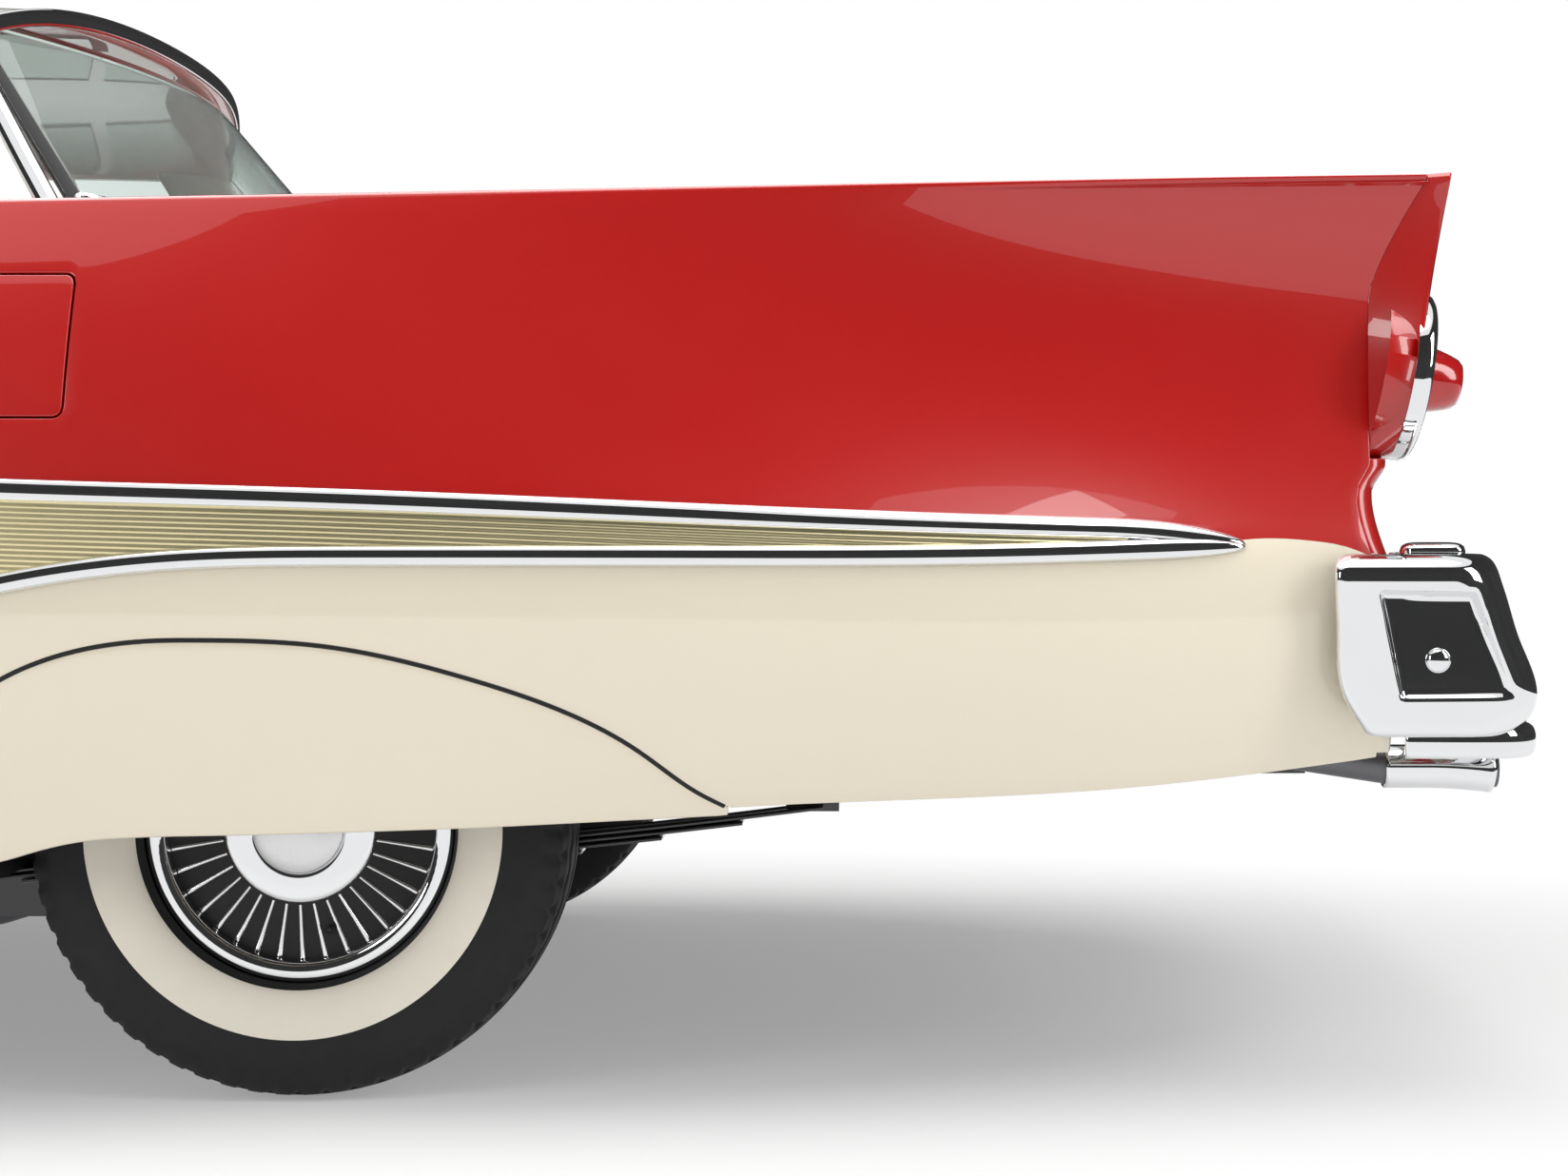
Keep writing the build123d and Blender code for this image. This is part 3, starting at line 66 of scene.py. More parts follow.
# %% Mesh helpers
def make_piece(name, points, faces, body, mats, face_mats=None, replaces=(), slot=None, smooth=True):
    """An object from an (n, 3) array of points and an (m, 4) array of corner numbers, its doubles merged."""
    used, packed = np.unique(np.asarray(faces).ravel(), return_inverse=True)
    mesh = bpy.data.meshes.new(name)
    mesh.from_pydata(np.asarray(points)[used].tolist(), [], packed.reshape(np.shape(faces)).tolist())
    for mat in mats:
        mesh.materials.append(mat)
    mesh.polygons.foreach_set("use_smooth", np.full(len(faces), smooth))
    if face_mats is not None:
        mesh.polygons.foreach_set("material_index", np.asarray(face_mats, np.int32))
    shell = bmesh.new()
    shell.from_mesh(mesh)
    bmesh.ops.remove_doubles(shell, verts=shell.verts, dist=1e-6)
    shell.to_mesh(mesh)
    shell.free()
    mesh.validate()
    obj = bpy.data.objects.new(name, mesh)
    bpy.context.scene.collection.objects.link(obj)
    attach(obj, body)
    if replaces:
        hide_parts(*replaces)
    return obj


def grid_quads(rows, columns, wrap_rows=False, wrap_columns=False):
    """Corner numbers of the quads between neighbours in a grid; a wrapped side joins its end to its start."""
    index = np.arange(rows * columns).reshape(rows, columns)
    if wrap_rows:
        index = np.vstack([index, index[:1]])
    if wrap_columns:
        index = np.hstack([index, index[:, :1]])
    corners = [index[:-1, :-1], index[1:, :-1], index[1:, 1:], index[:-1, 1:]]
    return np.stack(corners, -1).reshape(-1, 4)


def unit(vectors):
    """Vectors divided by their lengths."""
    return vectors / np.maximum(np.linalg.norm(vectors, axis=-1, keepdims=True), 1e-12)


def vertex_normals(points, quads):
    """Each quad's normal is the cross product of its diagonals; a point's is the sum around it."""
    corner = points[quads]
    face = np.cross(corner[:, 2] - corner[:, 0], corner[:, 3] - corner[:, 1])
    total = np.zeros_like(points)
    for k in range(4):
        np.add.at(total, quads[:, k], face)
    return unit(total)


def mirrored(points, quads):
    """The same shape on the car's other side, with its faces still outwards."""
    return points * np.array([1, -1, 1]), quads[:, ::-1]


def rolled_panel(points, quads, depth, roll=0.0018, steps=4, face_mats=None):
    """A pressed panel: the skin, edges rolled inwards on a small radius, and a back skin at a depth.

    A ring at angle a lies roll * sin(a) out from the edge and roll * (1 - cos(a)) below the skin.
    """
    used, quads = np.unique(quads.ravel(), return_inverse=True)
    points, quads = points[used], quads.reshape(-1, 4)
    count = len(points)
    normal = vertex_normals(points, quads)
    edges = np.stack([quads, np.roll(quads, -1, 1)], -1).reshape(-1, 2)
    owner = np.repeat(np.arange(len(quads)), 4)
    key, back = edges[:, 0] * count + edges[:, 1], edges[:, 1] * count + edges[:, 0]
    rim = ~np.isin(key, back)
    edges, owner = edges[rim], owner[rim]
    mean = unit(normal[edges[:, 0]] + normal[edges[:, 1]])
    out_edge = unit(np.cross(points[edges[:, 1]] - points[edges[:, 0]], mean))
    out = np.zeros_like(points)
    np.add.at(out, edges[:, 0], out_edge)
    np.add.at(out, edges[:, 1], out_edge)
    out = unit(out)
    border = np.unique(edges)
    slot_of = np.full(count, -1)
    slot_of[border] = np.arange(len(border))
    angles = np.linspace(0, np.pi / 2, steps + 1)[1:]
    rings = [
        points[border] + roll * np.sin(a) * out[border] - roll * (1 - np.cos(a)) * normal[border]
        for a in angles
    ]
    inner = points - depth * normal
    inner[border] += roll * out[border]
    everything = np.vstack([points, *rings, inner])
    ids = [edges] + [count + k * len(border) + slot_of[edges] for k in range(steps)]
    ids.append(count + steps * len(border) + edges)
    walls = [np.stack([a[:, 1], a[:, 0], b[:, 0], b[:, 1]], -1) for a, b in zip(ids, ids[1:])]
    faces = np.vstack([quads, *walls, quads[:, ::-1] + count + steps * len(border)])
    if face_mats is None:
        return everything, faces, None
    face_mats = np.asarray(face_mats)
    return everything, faces, np.concatenate([face_mats, *[face_mats[owner]] * len(walls), face_mats])


def outwards(points, quads):
    """A closed shape with its faces outwards: they are turned round if its signed volume is below zero."""
    corner = (points - points.mean(0))[quads]
    volume = np.einsum("ij,ij->", corner[:, 0], np.cross(corner[:, 1], corner[:, 2]))
    volume += np.einsum("ij,ij->", corner[:, 0], np.cross(corner[:, 2], corner[:, 3]))
    return points, quads if volume > 0 else quads[:, ::-1]


def carried_profile(path, side, lift, profile, closed_path=False):
    """A closed profile carried along a path: point = path + across * side + height * lift.

    path, side and lift are (n, 3) arrays; the profile is (m, 2) or (n, m, 2), as across and height.
    Open ends are closed by a ring drawn in to the profile's middle.
    """
    profile = np.broadcast_to(profile, (len(path), *np.shape(profile)[-2:]))
    points = path[:, None] + profile[..., :1] * side[:, None] + profile[..., 1:] * lift[:, None]
    if not closed_path:
        first, last = points[:1].mean(1, keepdims=True), points[-1:].mean(1, keepdims=True)
        around = points.shape[1]
        points = np.concatenate([np.repeat(first, around, 1), points, np.repeat(last, around, 1)])
    rows, columns = points.shape[:2]
    return outwards(points.reshape(-1, 3), grid_quads(rows, columns, closed_path, True))


def lathe(profile, centre, axis, turns=96, start=(0, 0, 1)):
    """A profile of radius and distance along an axis, turned about it: r * (cos, sin) + a * axis.

    The profile runs from the back over the rim to the front, so that the faces point outwards.
    """
    axis, start = unit(np.array(axis, float)), np.array(start, float)
    first = unit(start - axis * (start @ axis))
    second = np.cross(axis, first)
    angle = np.linspace(0, 2 * np.pi, turns, endpoint=False)[:, None, None]
    profile = np.asarray(profile, float)
    round_ = np.cos(angle) * first + np.sin(angle) * second
    points = np.asarray(centre) + profile[None, :, :1] * round_ + profile[None, :, 1:] * axis
    return points.reshape(-1, 3), grid_quads(turns, len(profile), True, False)


def join(*shapes):
    """Several (points, quads) shapes as one."""
    offsets = np.cumsum([0] + [len(points) for points, _ in shapes[:-1]])
    return np.vstack([p for p, _ in shapes]), np.vstack([q + o for (_, q), o in zip(shapes, offsets)])


def both_sides(points, quads):
    """A shape together with its mirror image."""
    return join((points, quads), mirrored(points, quads))


def smooth_curve(knots, values):
    """A natural cubic spline through the knots: it bends as a thin batten would. Returns a function."""
    knots, values = np.asarray(knots, float), np.asarray(values, float)
    gap = np.diff(knots)
    rise = np.diff(values, axis=0) / gap.reshape(-1, *[1] * (values.ndim - 1))
    count = len(knots)
    matrix, right = np.eye(count), np.zeros_like(values)
    inner = np.arange(1, count - 1)
    matrix[inner, inner - 1] = gap[:-1]
    matrix[inner, inner] = 2 * (gap[:-1] + gap[1:])
    matrix[inner, inner + 1] = gap[1:]
    right[inner] = 6 * np.diff(rise, axis=0)
    bend = np.linalg.solve(matrix, right)

    def at(x):
        x = np.asarray(x, float)
        k = np.clip(np.searchsorted(knots, x) - 1, 0, count - 2)
        shape = (-1, *[1] * (values.ndim - 1))
        h = gap[k].reshape(shape)
        a = ((knots[k + 1] - x) / gap[k]).reshape(shape)
        b = 1 - a
        curve = ((a**3 - a) * bend[k] + (b**3 - b) * bend[k + 1]) * h * h / 6
        return a * values[k] + b * values[k + 1] + curve

    return at


def ladder(stops, counts):
    """Rungs between stop lines: each pair of neighbouring stops gets its count of equal steps."""
    parts = [
        low[:, None] + (high - low)[:, None] * np.arange(n) / n for low, high,
        n in zip(stops, stops[1:], counts)
    ]
    return np.hstack([*parts, stops[-1][:, None]])


print("helpers ready")

# %% [markdown]
# ## Shader sums as Python
# A finish here is a few sums on textures: a colour that drifts a little, a roughness that is not the
# same everywhere, a fine bump. Wiring each Math node by hand hides the idea, so a small class wraps a
# socket and lets Python's own operators add the nodes.


# %% The socket class
class Value:
    """A shader socket that can be added, taken away and multiplied."""

    def __init__(self, tree, socket):
        self.tree, self.socket = tree, socket

    def make(self, kind, inputs=None, output=0, stops=None, **settings):
        """Any node: its settings first, then a ramp's stops, then its sockets' values or links."""
        made = self.tree.nodes.new(kind)
        for name, value in settings.items():
            setattr(made, name, value)
        if stops:
            for element, (position, colour) in zip(made.color_ramp.elements, stops):
                element.position, element.color = position, (*colour, 1)
        for key, value in (inputs or {}).items():
            if isinstance(value, Value):
                self.tree.links.new(value.socket, made.inputs[key])
            else:
                made.inputs[key].default_value = value
        return Value(self.tree, made.outputs[output])

    def math(self, operation, other=0.0):
        return self.make("ShaderNodeMath", {0: self, 1: other}, operation=operation)

    def __add__(self, other):
        return self.math("ADD", other)

    def __sub__(self, other):
        return self.math("SUBTRACT", other)

    def __mul__(self, other):
        return self.math("MULTIPLY", other)

    def noise(self, scale, detail=3.0):
        """Cloudy noise between 0 and 1, read at this position."""
        return self.make("ShaderNodeTexNoise", {"Vector": self, "Scale": scale, "Detail": detail})

    def tint(self, low, high):
        """A colour between two, by this value."""
        return self.make("ShaderNodeMix", {0: self, 6: (*low, 1), 7: (*high, 1)}, output=2, data_type="RGBA")

    def make_clamped(self, times):
        """This value times a number, kept between 0 and 1."""
        return self.make("ShaderNodeMath", {0: self, 1: times}, operation="MULTIPLY", use_clamp=True)

    def axis(self, name):
        """One part of a position: X, Y or Z."""
        return self.make("ShaderNodeSeparateXYZ", {0: self}, output="XYZ".index(name))


def new_material(name, **sockets):
    """A material with a Principled shader; returns it, the shader and the piece's own position."""
    mat = bpy.data.materials.new(name)
    mat.use_nodes = True
    shader = mat.node_tree.nodes["Principled BSDF"]
    for key, value in sockets.items():
        shader.inputs[key.replace("_", " ")].default_value = value
    start = Value(mat.node_tree, None)
    position = start.make("ShaderNodeTexCoord", output=3)
    return mat, shader, position


def feed(shader, key, value):
    """Links a value to one of the shader's sockets."""
    value.tree.links.new(value.socket, shader.inputs[key])


def bump(shader, height, strength, distance):
    """Fine relief: a height in, a bent normal out."""
    made = height.make("ShaderNodeBump", {"Height": height, "Strength": strength, "Distance": distance})
    feed(shader, "Normal", made)


print("socket class ready")

# %% [markdown]
# ## Paint
# Baked enamel is a colour under a clear, very smooth coat. The coat gives the sharp studio highlights,
# and a faint orange-peel ripple, a few millimetres long, keeps them from looking like plastic.


# %% Paint finishes
def paint(name, colour, drift=0.05, roughness=0.32):
    """Enamel: the colour drifts by a few hundredths over the panel, under a clear coat."""
    mat, shader, here = new_material(name, Coat_Weight=1.0, Coat_Roughness=0.02, Coat_IOR=1.5)
    cloud = here.noise(2.2)
    low = tuple(c * (1 - drift) for c in colour)
    high = tuple(min(1.0, c * (1 + drift)) for c in colour)
    feed(shader, "Base Color", cloud.tint(low, high))
    feed(shader, "Roughness", here.noise(9.0) * 0.06 + (roughness - 0.03))
    bump(shader, here.noise(160.0, 1.0), 0.012, 0.002)
    return mat


RED = paint("red_enamel", (0.44, 0.0035, 0.0015))
CREAM = paint("cream_enamel", (0.78, 0.71, 0.565), drift=0.02)
ROOF_WHITE = paint("roof_enamel", (0.80, 0.79, 0.75), drift=0.02)
BLACK_PAINT = paint("chassis_black", (0.012, 0.012, 0.013), roughness=0.45)
print("paints ready")

# %% [markdown]
# ## Bright metal, glass and rubber
# Plated trim is a mirror with very little roughness. The wheel cover's cone is spun metal, with a fine
# grain in its roughness. Rubber is nearly black and dull, with a lighter bloom in patches.


# %% Metal, glass and rubber finishes
def bright_metal(name, colour, roughness, spread=0.03):
    mat, shader, here = new_material(name, Metallic=1.0)
    cloud = here.noise(14.0)
    feed(shader, "Base Color", cloud.tint(tuple(c * 0.96 for c in colour), colour))
    feed(shader, "Roughness", here.noise(40.0) * spread + (roughness - spread / 2))
    return mat


def spun_metal(name, colour):
    """Fine grain: close noise in the roughness and in a shallow bump."""
    mat, shader, here = new_material(name, Metallic=1.0)
    feed(shader, "Base Color", here.noise(20.0).tint(tuple(c * 0.94 for c in colour), colour))
    feed(shader, "Roughness", here.noise(300.0, 1.0) * 0.12 + 0.24)
    bump(shader, here.noise(420.0, 1.0), 0.05, 0.0004)
    return mat


def rubber(name, colour, roughness, bloom=1.6):
    mat, shader, here = new_material(name, Specular_IOR_Level=0.35)
    cloud = here.noise(26.0)
    feed(shader, "Base Color", cloud.tint(colour, tuple(min(1.0, c * bloom) for c in colour)))
    feed(shader, "Roughness", here.noise(60.0) * 0.16 + (roughness - 0.08))
    bump(shader, here.noise(900.0, 2.0), 0.12, 0.0006)
    return mat


def pane(name, colour, roughness=0.0):
    """Tinted glass: light passes, a little green is held back."""
    mat, shader, here = new_material(name, Transmission_Weight=1.0, IOR=1.45)
    feed(shader, "Base Color", here.noise(1.5).tint(tuple(c * 0.98 for c in colour), colour))
    feed(shader, "Roughness", here.noise(5.0) * 0.004 + roughness)
    return mat


CHROME = bright_metal("chrome", (0.82, 0.83, 0.84), 0.035)
STEEL = bright_metal("dark_steel", (0.16, 0.16, 0.17), 0.42, 0.12)
SPUN = spun_metal("spun_metal", (0.74, 0.74, 0.75))
ALUMINIUM = bright_metal("pressed_aluminium", (0.72, 0.73, 0.74), 0.16)
IRON = bright_metal("cast_iron", (0.10, 0.11, 0.12), 0.5, 0.14)
GOLD = bright_metal("gold_anodising", (0.95, 0.84, 0.50), 0.34)
TYRE_BLACK = rubber("tyre_rubber", (0.009, 0.009, 0.0095), 0.6)
TYRE_WHITE = rubber("white_band", (0.80, 0.76, 0.65), 0.5, 1.06)
SEAL = rubber("seal_rubber", (0.008, 0.008, 0.008), 0.5)
GLASS = pane("tinted_glass", (0.80, 0.90, 0.86))
CLEAR = pane("lamp_glass", (0.95, 0.96, 0.95), 0.02)


def red_lens():
    """Moulded red plastic: deep colour, a clear gloss and light that goes a little way in."""
    mat, shader, here = new_material(
        "red_lens", Coat_Weight=1.0, Coat_Roughness=0.03, Transmission_Weight=0.35, IOR=1.49
    )
    feed(shader, "Base Color", here.noise(30.0).tint((0.50, 0.002, 0.004), (0.72, 0.01, 0.01)))
    feed(shader, "Roughness", here.noise(50.0) * 0.1 + 0.12)
    return mat


LENS_RED = red_lens()


def hide(name, colour, grain=260.0):
    """Seat covering: fine leather grain and slight wear in the colour."""
    mat, shader, here = new_material(name, Coat_Weight=0.08)
    feed(shader, "Base Color", here.noise(12.0).tint(tuple(c * 0.86 for c in colour), colour))
    feed(shader, "Roughness", here.noise(30.0) * 0.15 + 0.38)
    bump(shader, here.noise(grain, 4.0), 0.35, 0.0012)
    return mat


RED_HIDE = hide("red_vinyl", (0.42, 0.006, 0.010))
WHITE_HIDE = hide("white_vinyl", (0.74, 0.70, 0.62))
CREAM_PLASTIC = hide("cream_plastic", (0.80, 0.75, 0.63), 900.0)
CARPET = rubber("carpet", (0.10, 0.008, 0.010), 0.85)
UNDERSIDE = rubber("underbody", (0.020, 0.020, 0.021), 0.7)
print("metals, glass, rubber and covers ready")

# %% [markdown]
# ## The body side
# The side is drawn the way a body draughtsman did it: a few cross sections, and battens bent through
# them along the car. Each section has a lower and an upper sweep. Both are parabolas: the distance in
# from the widest point is a quadratic in height. The sections' numbers run along the car on splines.

# %% Sections of the body side
HALF = 967 * MM
# One line per section: x behind the rear axle, then height and inset of the bottom edge, the lower
# sweep's middle, the widest line, the upper sweep's middle and the top edge, then the top face's fall.
SECTIONS = MM * np.array([
    [-3697, 362, 96, 530, 42, 708, 38, 842, 58, 950, 126, 15],
    [-2997, 300, 73, 530, 16, 725, 14, 880, 36, 1025, 123, 15],
    [-2240, 292, 70, 530, 13, 732, 13, 892, 38, 1050, 128, 15],
    [-1847, 290, 68, 530, 11, 738, 11, 900, 40, 1068, 133, 15],
    [-700, 296, 53, 545, 3, 745, 6, 910, 38, 1098, 128, 15],
    [0, 322, 43, 560, 0, 725, 3, 905, 44, 1107, 106, 18],
    [500, 372, 53, 560, 0, 705, 7, 900, 64, 1114, 88, 30],
    [1000, 395, 73, 560, 10, 688, 18, 900, 96, 1122, 73, 50],
    [1425, 445, 140, 560, 92, 672, 88, 880, 126, 1131, 78, 62],
])
TOP_WALL = 75 * MM
TOP_ROUND = 9 * MM
section_at = smooth_curve(SECTIONS[:, 0] + REAR, SECTIONS[:, 1:])
# The line between the two colours: x behind the rear axle and height.
DIVISION = MM * np.array([
    [-3760, 822], [-2997, 816], [-2400, 812], [-1800, 804], [-1300, 793], [-1080, 770], [-950, 712],
    [-830, 628], [-740, 570], [-650, 548], [-545, 572], [-430, 606], [-317, 636], [-205, 656], [-90, 667],
    [100, 671], [500, 671], [900, 675], [1090, 683], [1162, 691], [1236, 688], [1281, 679], [1312, 664],
    [1430, 590],
])
division_z = smooth_curve(DIVISION[:, 0] + REAR, DIVISION[:, 1])


def quadratic(z, z0, z1, z2, v0, v1, v2):
    """The parabola through three heights and values, in Lagrange's form."""
    first = v0 * (z - z1) * (z - z2) / ((z0 - z1) * (z0 - z2))
    second = v1 * (z - z0) * (z - z2) / ((z1 - z0) * (z1 - z2))
    return first + second + v2 * (z - z0) * (z - z1) / ((z2 - z0) * (z2 - z1))


def skin(x, z, lift=0.0):
    """Points of the left-hand skin at x and z: inset = lower or upper parabola, y = inset - half width."""
    x, z = np.broadcast_arrays(x, z)
    column = section_at(x.ravel()).T.reshape(11, *x.shape)
    bz, bi, lz, li, mz, mi, wz, wi, tz, ti, _ = column
    inset = np.where(z < mz, quadratic(z, bz, lz, mz, bi, li, mi), quadratic(z, mz, wz, tz, mi, wi, ti))
    return np.stack([x, inset - HALF - lift, z], -1)


def skin_normal(x, z):
    """Outward normal of the skin, from two small steps along it."""
    step = 1.0 * MM
    along = skin(x + step, z) - skin(x - step, z)
    up = skin(x, z + step) - skin(x, z - step)
    return unit(np.cross(along, up))


def side_grid(x, stops, counts, warp=None):
    """Skin points over columns x, with rows laid between stop lines, then over the rounded top edge.

    The top is a quadratic curve through the corner, then the flat face that falls towards the cabin.
    """
    column = section_at(x).T
    top_z, drop = column[8], column[10]
    z = ladder([*stops, top_z - TOP_ROUND], counts)
    wide = x[:, None] + (0 if warp is None else warp(x, z))
    points = skin(wide, z)
    corner = skin(wide[:, -1], top_z)
    inner = corner + np.stack([0 * top_z, 0 * top_z + TOP_WALL, -drop], -1)
    onward = corner + (inner - corner) * (TOP_ROUND / np.linalg.norm(inner - corner, axis=1))[:, None]
    share = np.linspace(0, 1, 7)[1:, None, None]
    bend = (1 - share) ** 2 * points[:, -1] + 2 * share * (1 - share) * corner + share**2 * onward
    flat = onward + (inner - onward) * np.linspace(0, 1, 5)[1:, None, None]
    return np.concatenate([points, bend.transpose(1, 0, 2), flat.transpose(1, 0, 2)], 1)


def paint_rows(grid_rows, columns, red_from):
    """Face finish of a side panel: cream below the division's row, red from it up."""
    rows = np.broadcast_to(np.arange(columns - 1), (grid_rows - 1, columns - 1))
    return (rows < red_from).astype(int).ravel()


def side_panel(name, grid, keep, red_from, body, replaces, depth):
    """Left and right panels from one grid; keep says which of its quads are there."""
    rows, columns = grid.shape[:2]
    keep = keep.ravel()
    quads = grid_quads(rows, columns)[keep]
    shape = rolled_panel(
        grid.reshape(-1, 3), quads, depth, face_mats=paint_rows(rows, columns, red_from)[keep]
    )
    for side in ("left", "right"):
        points, faces = shape[:2] if side == "left" else mirrored(*shape[:2])
        where = body.replace("SIDE", side)
        nodes = [n.replace("SIDE", side) for n in replaces]
        make_piece(f"{name}_{side}", points, faces, where, [RED, CREAM], shape[2], nodes, "two_tone_paint")
    print(name, len(shape[1]), "faces each")


# %% [markdown]
# ## Rear quarter
# The quarter carries the fin, the covered wheel's opening and the filler pocket. One grid does it all:
# its lower edge follows the opening, two of its rows run along the filler's top and bottom, and the
# quads inside the filler's outline are left out.

# %% Rear quarter panels
SKIRT_TOP_X, SKIRT_TOP_Z = REAR - 90 * MM, 574 * MM
SKIRT_REAR_X, SKIRT_FRONT_X = REAR + 541 * MM, REAR - 448 * MM
FUEL_FRONT, FUEL_REAR = REAR - 436 * MM, REAR - 236 * MM
FUEL_LOW, FUEL_HIGH, FUEL_ROUND = 830 * MM, 1009 * MM, 15 * MM
DOOR_FRONT, DOOR_REAR = FRONT + 1150 * MM, REAR - 700 * MM
EDGE = 2.0 * MM
skirt_rear_arc = smooth_curve(
    REAR + MM * np.array([-90, 70, 245, 373, 437, 501, 541, 600]), MM * np.array(
        [574, 567, 527, 479, 441, 393, 371, 330]
    )
)


def skirt_edge(x):
    """Height of the wheel cover's outline: a spline behind its crown, an upright ellipse before it."""
    reach = np.clip((SKIRT_TOP_X - x) / (SKIRT_TOP_X - SKIRT_FRONT_X), 0, 1)
    ahead = 300 * MM + (SKIRT_TOP_Z - 300 * MM) * np.sqrt(1 - reach**2.3)
    return np.where(x > SKIRT_TOP_X, skirt_rear_arc(x), ahead)


def fuel_corner(x, inset=0.0):
    """How far the filler's rounded corners rise above its straight edge, at x."""
    radius = FUEL_ROUND - inset
    from_end = np.minimum(x - FUEL_FRONT - inset, FUEL_REAR - inset - x)
    near = np.clip(radius - from_end, 0, radius)
    return radius - np.sqrt(radius**2 - near**2)


def spread(*marks):
    """Column places: (start, end, count) stretches, joined and sorted."""
    return np.unique(np.concatenate([np.linspace(a, b, n) for a, b, n in marks]))


SEAM_X = REAR + 1302 * MM
SEAM_LOW_Z, SEAM_HIGH_Z, SEAM_LEAN = 985 * MM, 1131 * MM, 71 * MM
HOUSING_LOW_Z, TUCK_SPAN, TUCK = 783 * MM, 38 * MM, 19 * MM
FLARE_Z, FLARE_SPAN, FLARE = 740 * MM, 140 * MM, 30 * MM


def smooth_step(t):
    """0 up to t = 0, 1 from t = 1, and 3 t^2 - 2 t^3 between."""
    t = np.clip(t, 0, 1)
    return t * t * (3 - 2 * t)


def seam_lean(z):
    """How far behind the seam's middle its other heights lie: back up the fin, forward under the housing."""
    share = np.clip((z - SEAM_LOW_Z) / (SEAM_HIGH_Z - SEAM_LOW_Z), 0, 1.05)
    tuck = TUCK * smooth_step((HOUSING_LOW_Z - z) / TUCK_SPAN)
    return SEAM_LEAN * share**1.25 - tuck + FLARE * smooth_step((FLARE_Z - z) / FLARE_SPAN)


def tail_warp(x, z):
    """Columns near the tail lean with the seam, more and more towards it."""
    share = np.clip((x - (SEAM_X - 300 * MM)) / (300 * MM), 0, 1)
    return share[:, None] ** 2 * seam_lean(z)


quarter_x = spread(
    (DOOR_REAR, SKIRT_FRONT_X - MM, 16), (SKIRT_FRONT_X, SKIRT_FRONT_X + 12 * MM, 14),
    (SKIRT_FRONT_X + 16 * MM, FUEL_FRONT + FUEL_ROUND, 4), (FUEL_FRONT, FUEL_FRONT + FUEL_ROUND, 9),
    (FUEL_FRONT + FUEL_ROUND, FUEL_REAR - FUEL_ROUND, 18), (FUEL_REAR - FUEL_ROUND, FUEL_REAR, 9),
    (FUEL_REAR, SKIRT_REAR_X, 46), (SKIRT_REAR_X, SEAM_X, 54),
)
bottom = section_at(quarter_x)[:, 0]
covered = (quarter_x >= SKIRT_FRONT_X) & (quarter_x <= SKIRT_REAR_X)
lower = np.where(covered, np.maximum(bottom, skirt_edge(quarter_x) + 1.5 * MM), bottom)
corner_rise = fuel_corner(np.clip(quarter_x, FUEL_FRONT, FUEL_REAR))
counts = (16, 8, 10, 6)
grid = side_grid(
    quarter_x, [lower, division_z(quarter_x), FUEL_LOW + corner_rise, FUEL_HIGH - corner_rise], counts,
    tail_warp
)
inside_x = (quarter_x[:-1] > FUEL_FRONT - 1e-6) & (quarter_x[1:] < FUEL_REAR + 1e-6)
row = np.arange(grid.shape[1] - 1)
inside_z = (row >= counts[0] + counts[1]) & (row < sum(counts[:3]))
whole = np.ones((len(quarter_x) - 1, grid.shape[1] - 1), bool)
left_keep = ~(inside_x[:, None] & inside_z)
for side, keep in (("left", left_keep), ("right", whole)):
    rows, columns = grid.shape[:2]
    finish = paint_rows(rows, columns, counts[0])[keep.ravel()]
    points, faces, mats = rolled_panel(
        grid.reshape(-1, 3), grid_quads(rows, columns)[keep.ravel()], 9 * MM, face_mats=finish
    )
    if side == "right":
        points, faces = mirrored(points, faces)
    make_piece(
        f"quarter_{side}", points, faces, "body", [RED, CREAM], mats, [f"rear_quarter_{side}"],
        "two_tone_paint"
    )
print("quarters", grid.shape)

# %% [markdown]
# ## Doors, front fenders, wheel covers and fuel flap
# The same skin, cut by other lines. A door runs between its shut lines; a fender's lower edge climbs
# over the wheel as a circle; the wheel cover fills the quarter's opening, with a bead of black rubber
# between; the flap fills the filler's outline less its gap.

# %% Doors and fenders
door_x = spread((DOOR_FRONT + EDGE, DOOR_REAR - 6 * MM - EDGE, 60))
door_grid = side_grid(door_x, [section_at(door_x)[:, 0] + EDGE, division_z(door_x)], (18, 18))
side_panel(
    "door_skin", door_grid, np.ones((len(door_x) - 1, door_grid.shape[1] - 1), bool), 18, "door_SIDE",
    ["door_SIDE"], 46 * MM
)

ARCH = 400 * MM
FENDER_FRONT = FRONT - 690 * MM
BUMPER_CUT_X, BUMPER_CUT_Z = FRONT - 450 * MM, 558 * MM
fender_x = spread(
    (FENDER_FRONT, BUMPER_CUT_X - MM, 14), (BUMPER_CUT_X, FRONT - ARCH - MM, 6), (
        FRONT - ARCH, FRONT - ARCH + 10 * MM, 8
    ),
    (FRONT - ARCH + 12 * MM, FRONT + ARCH - 12 * MM, 54), (FRONT + ARCH - 10 * MM, FRONT + ARCH, 8),
    (FRONT + ARCH + MM, DOOR_FRONT - 8.5 * MM - EDGE, 32),
)
fender_low = section_at(fender_x)[:, 0] + EDGE
arch_z = AXLE_Z + np.sqrt(np.maximum(ARCH**2 - (fender_x - FRONT) ** 2, 0)) + EDGE
fender_low = np.where(np.abs(fender_x - FRONT) <= ARCH, np.maximum(fender_low, arch_z), fender_low)
fender_low = np.where(fender_x < BUMPER_CUT_X - 0.5 * MM, BUMPER_CUT_Z + EDGE, fender_low)
fender_grid = side_grid(fender_x, [fender_low, division_z(fender_x)], (14, 14))
whole = np.ones((len(fender_x) - 1, fender_grid.shape[1] - 1), bool)
side_panel("fender_skin", fender_grid, whole, 14, "body", ["front_fender_SIDE"], 9 * MM)

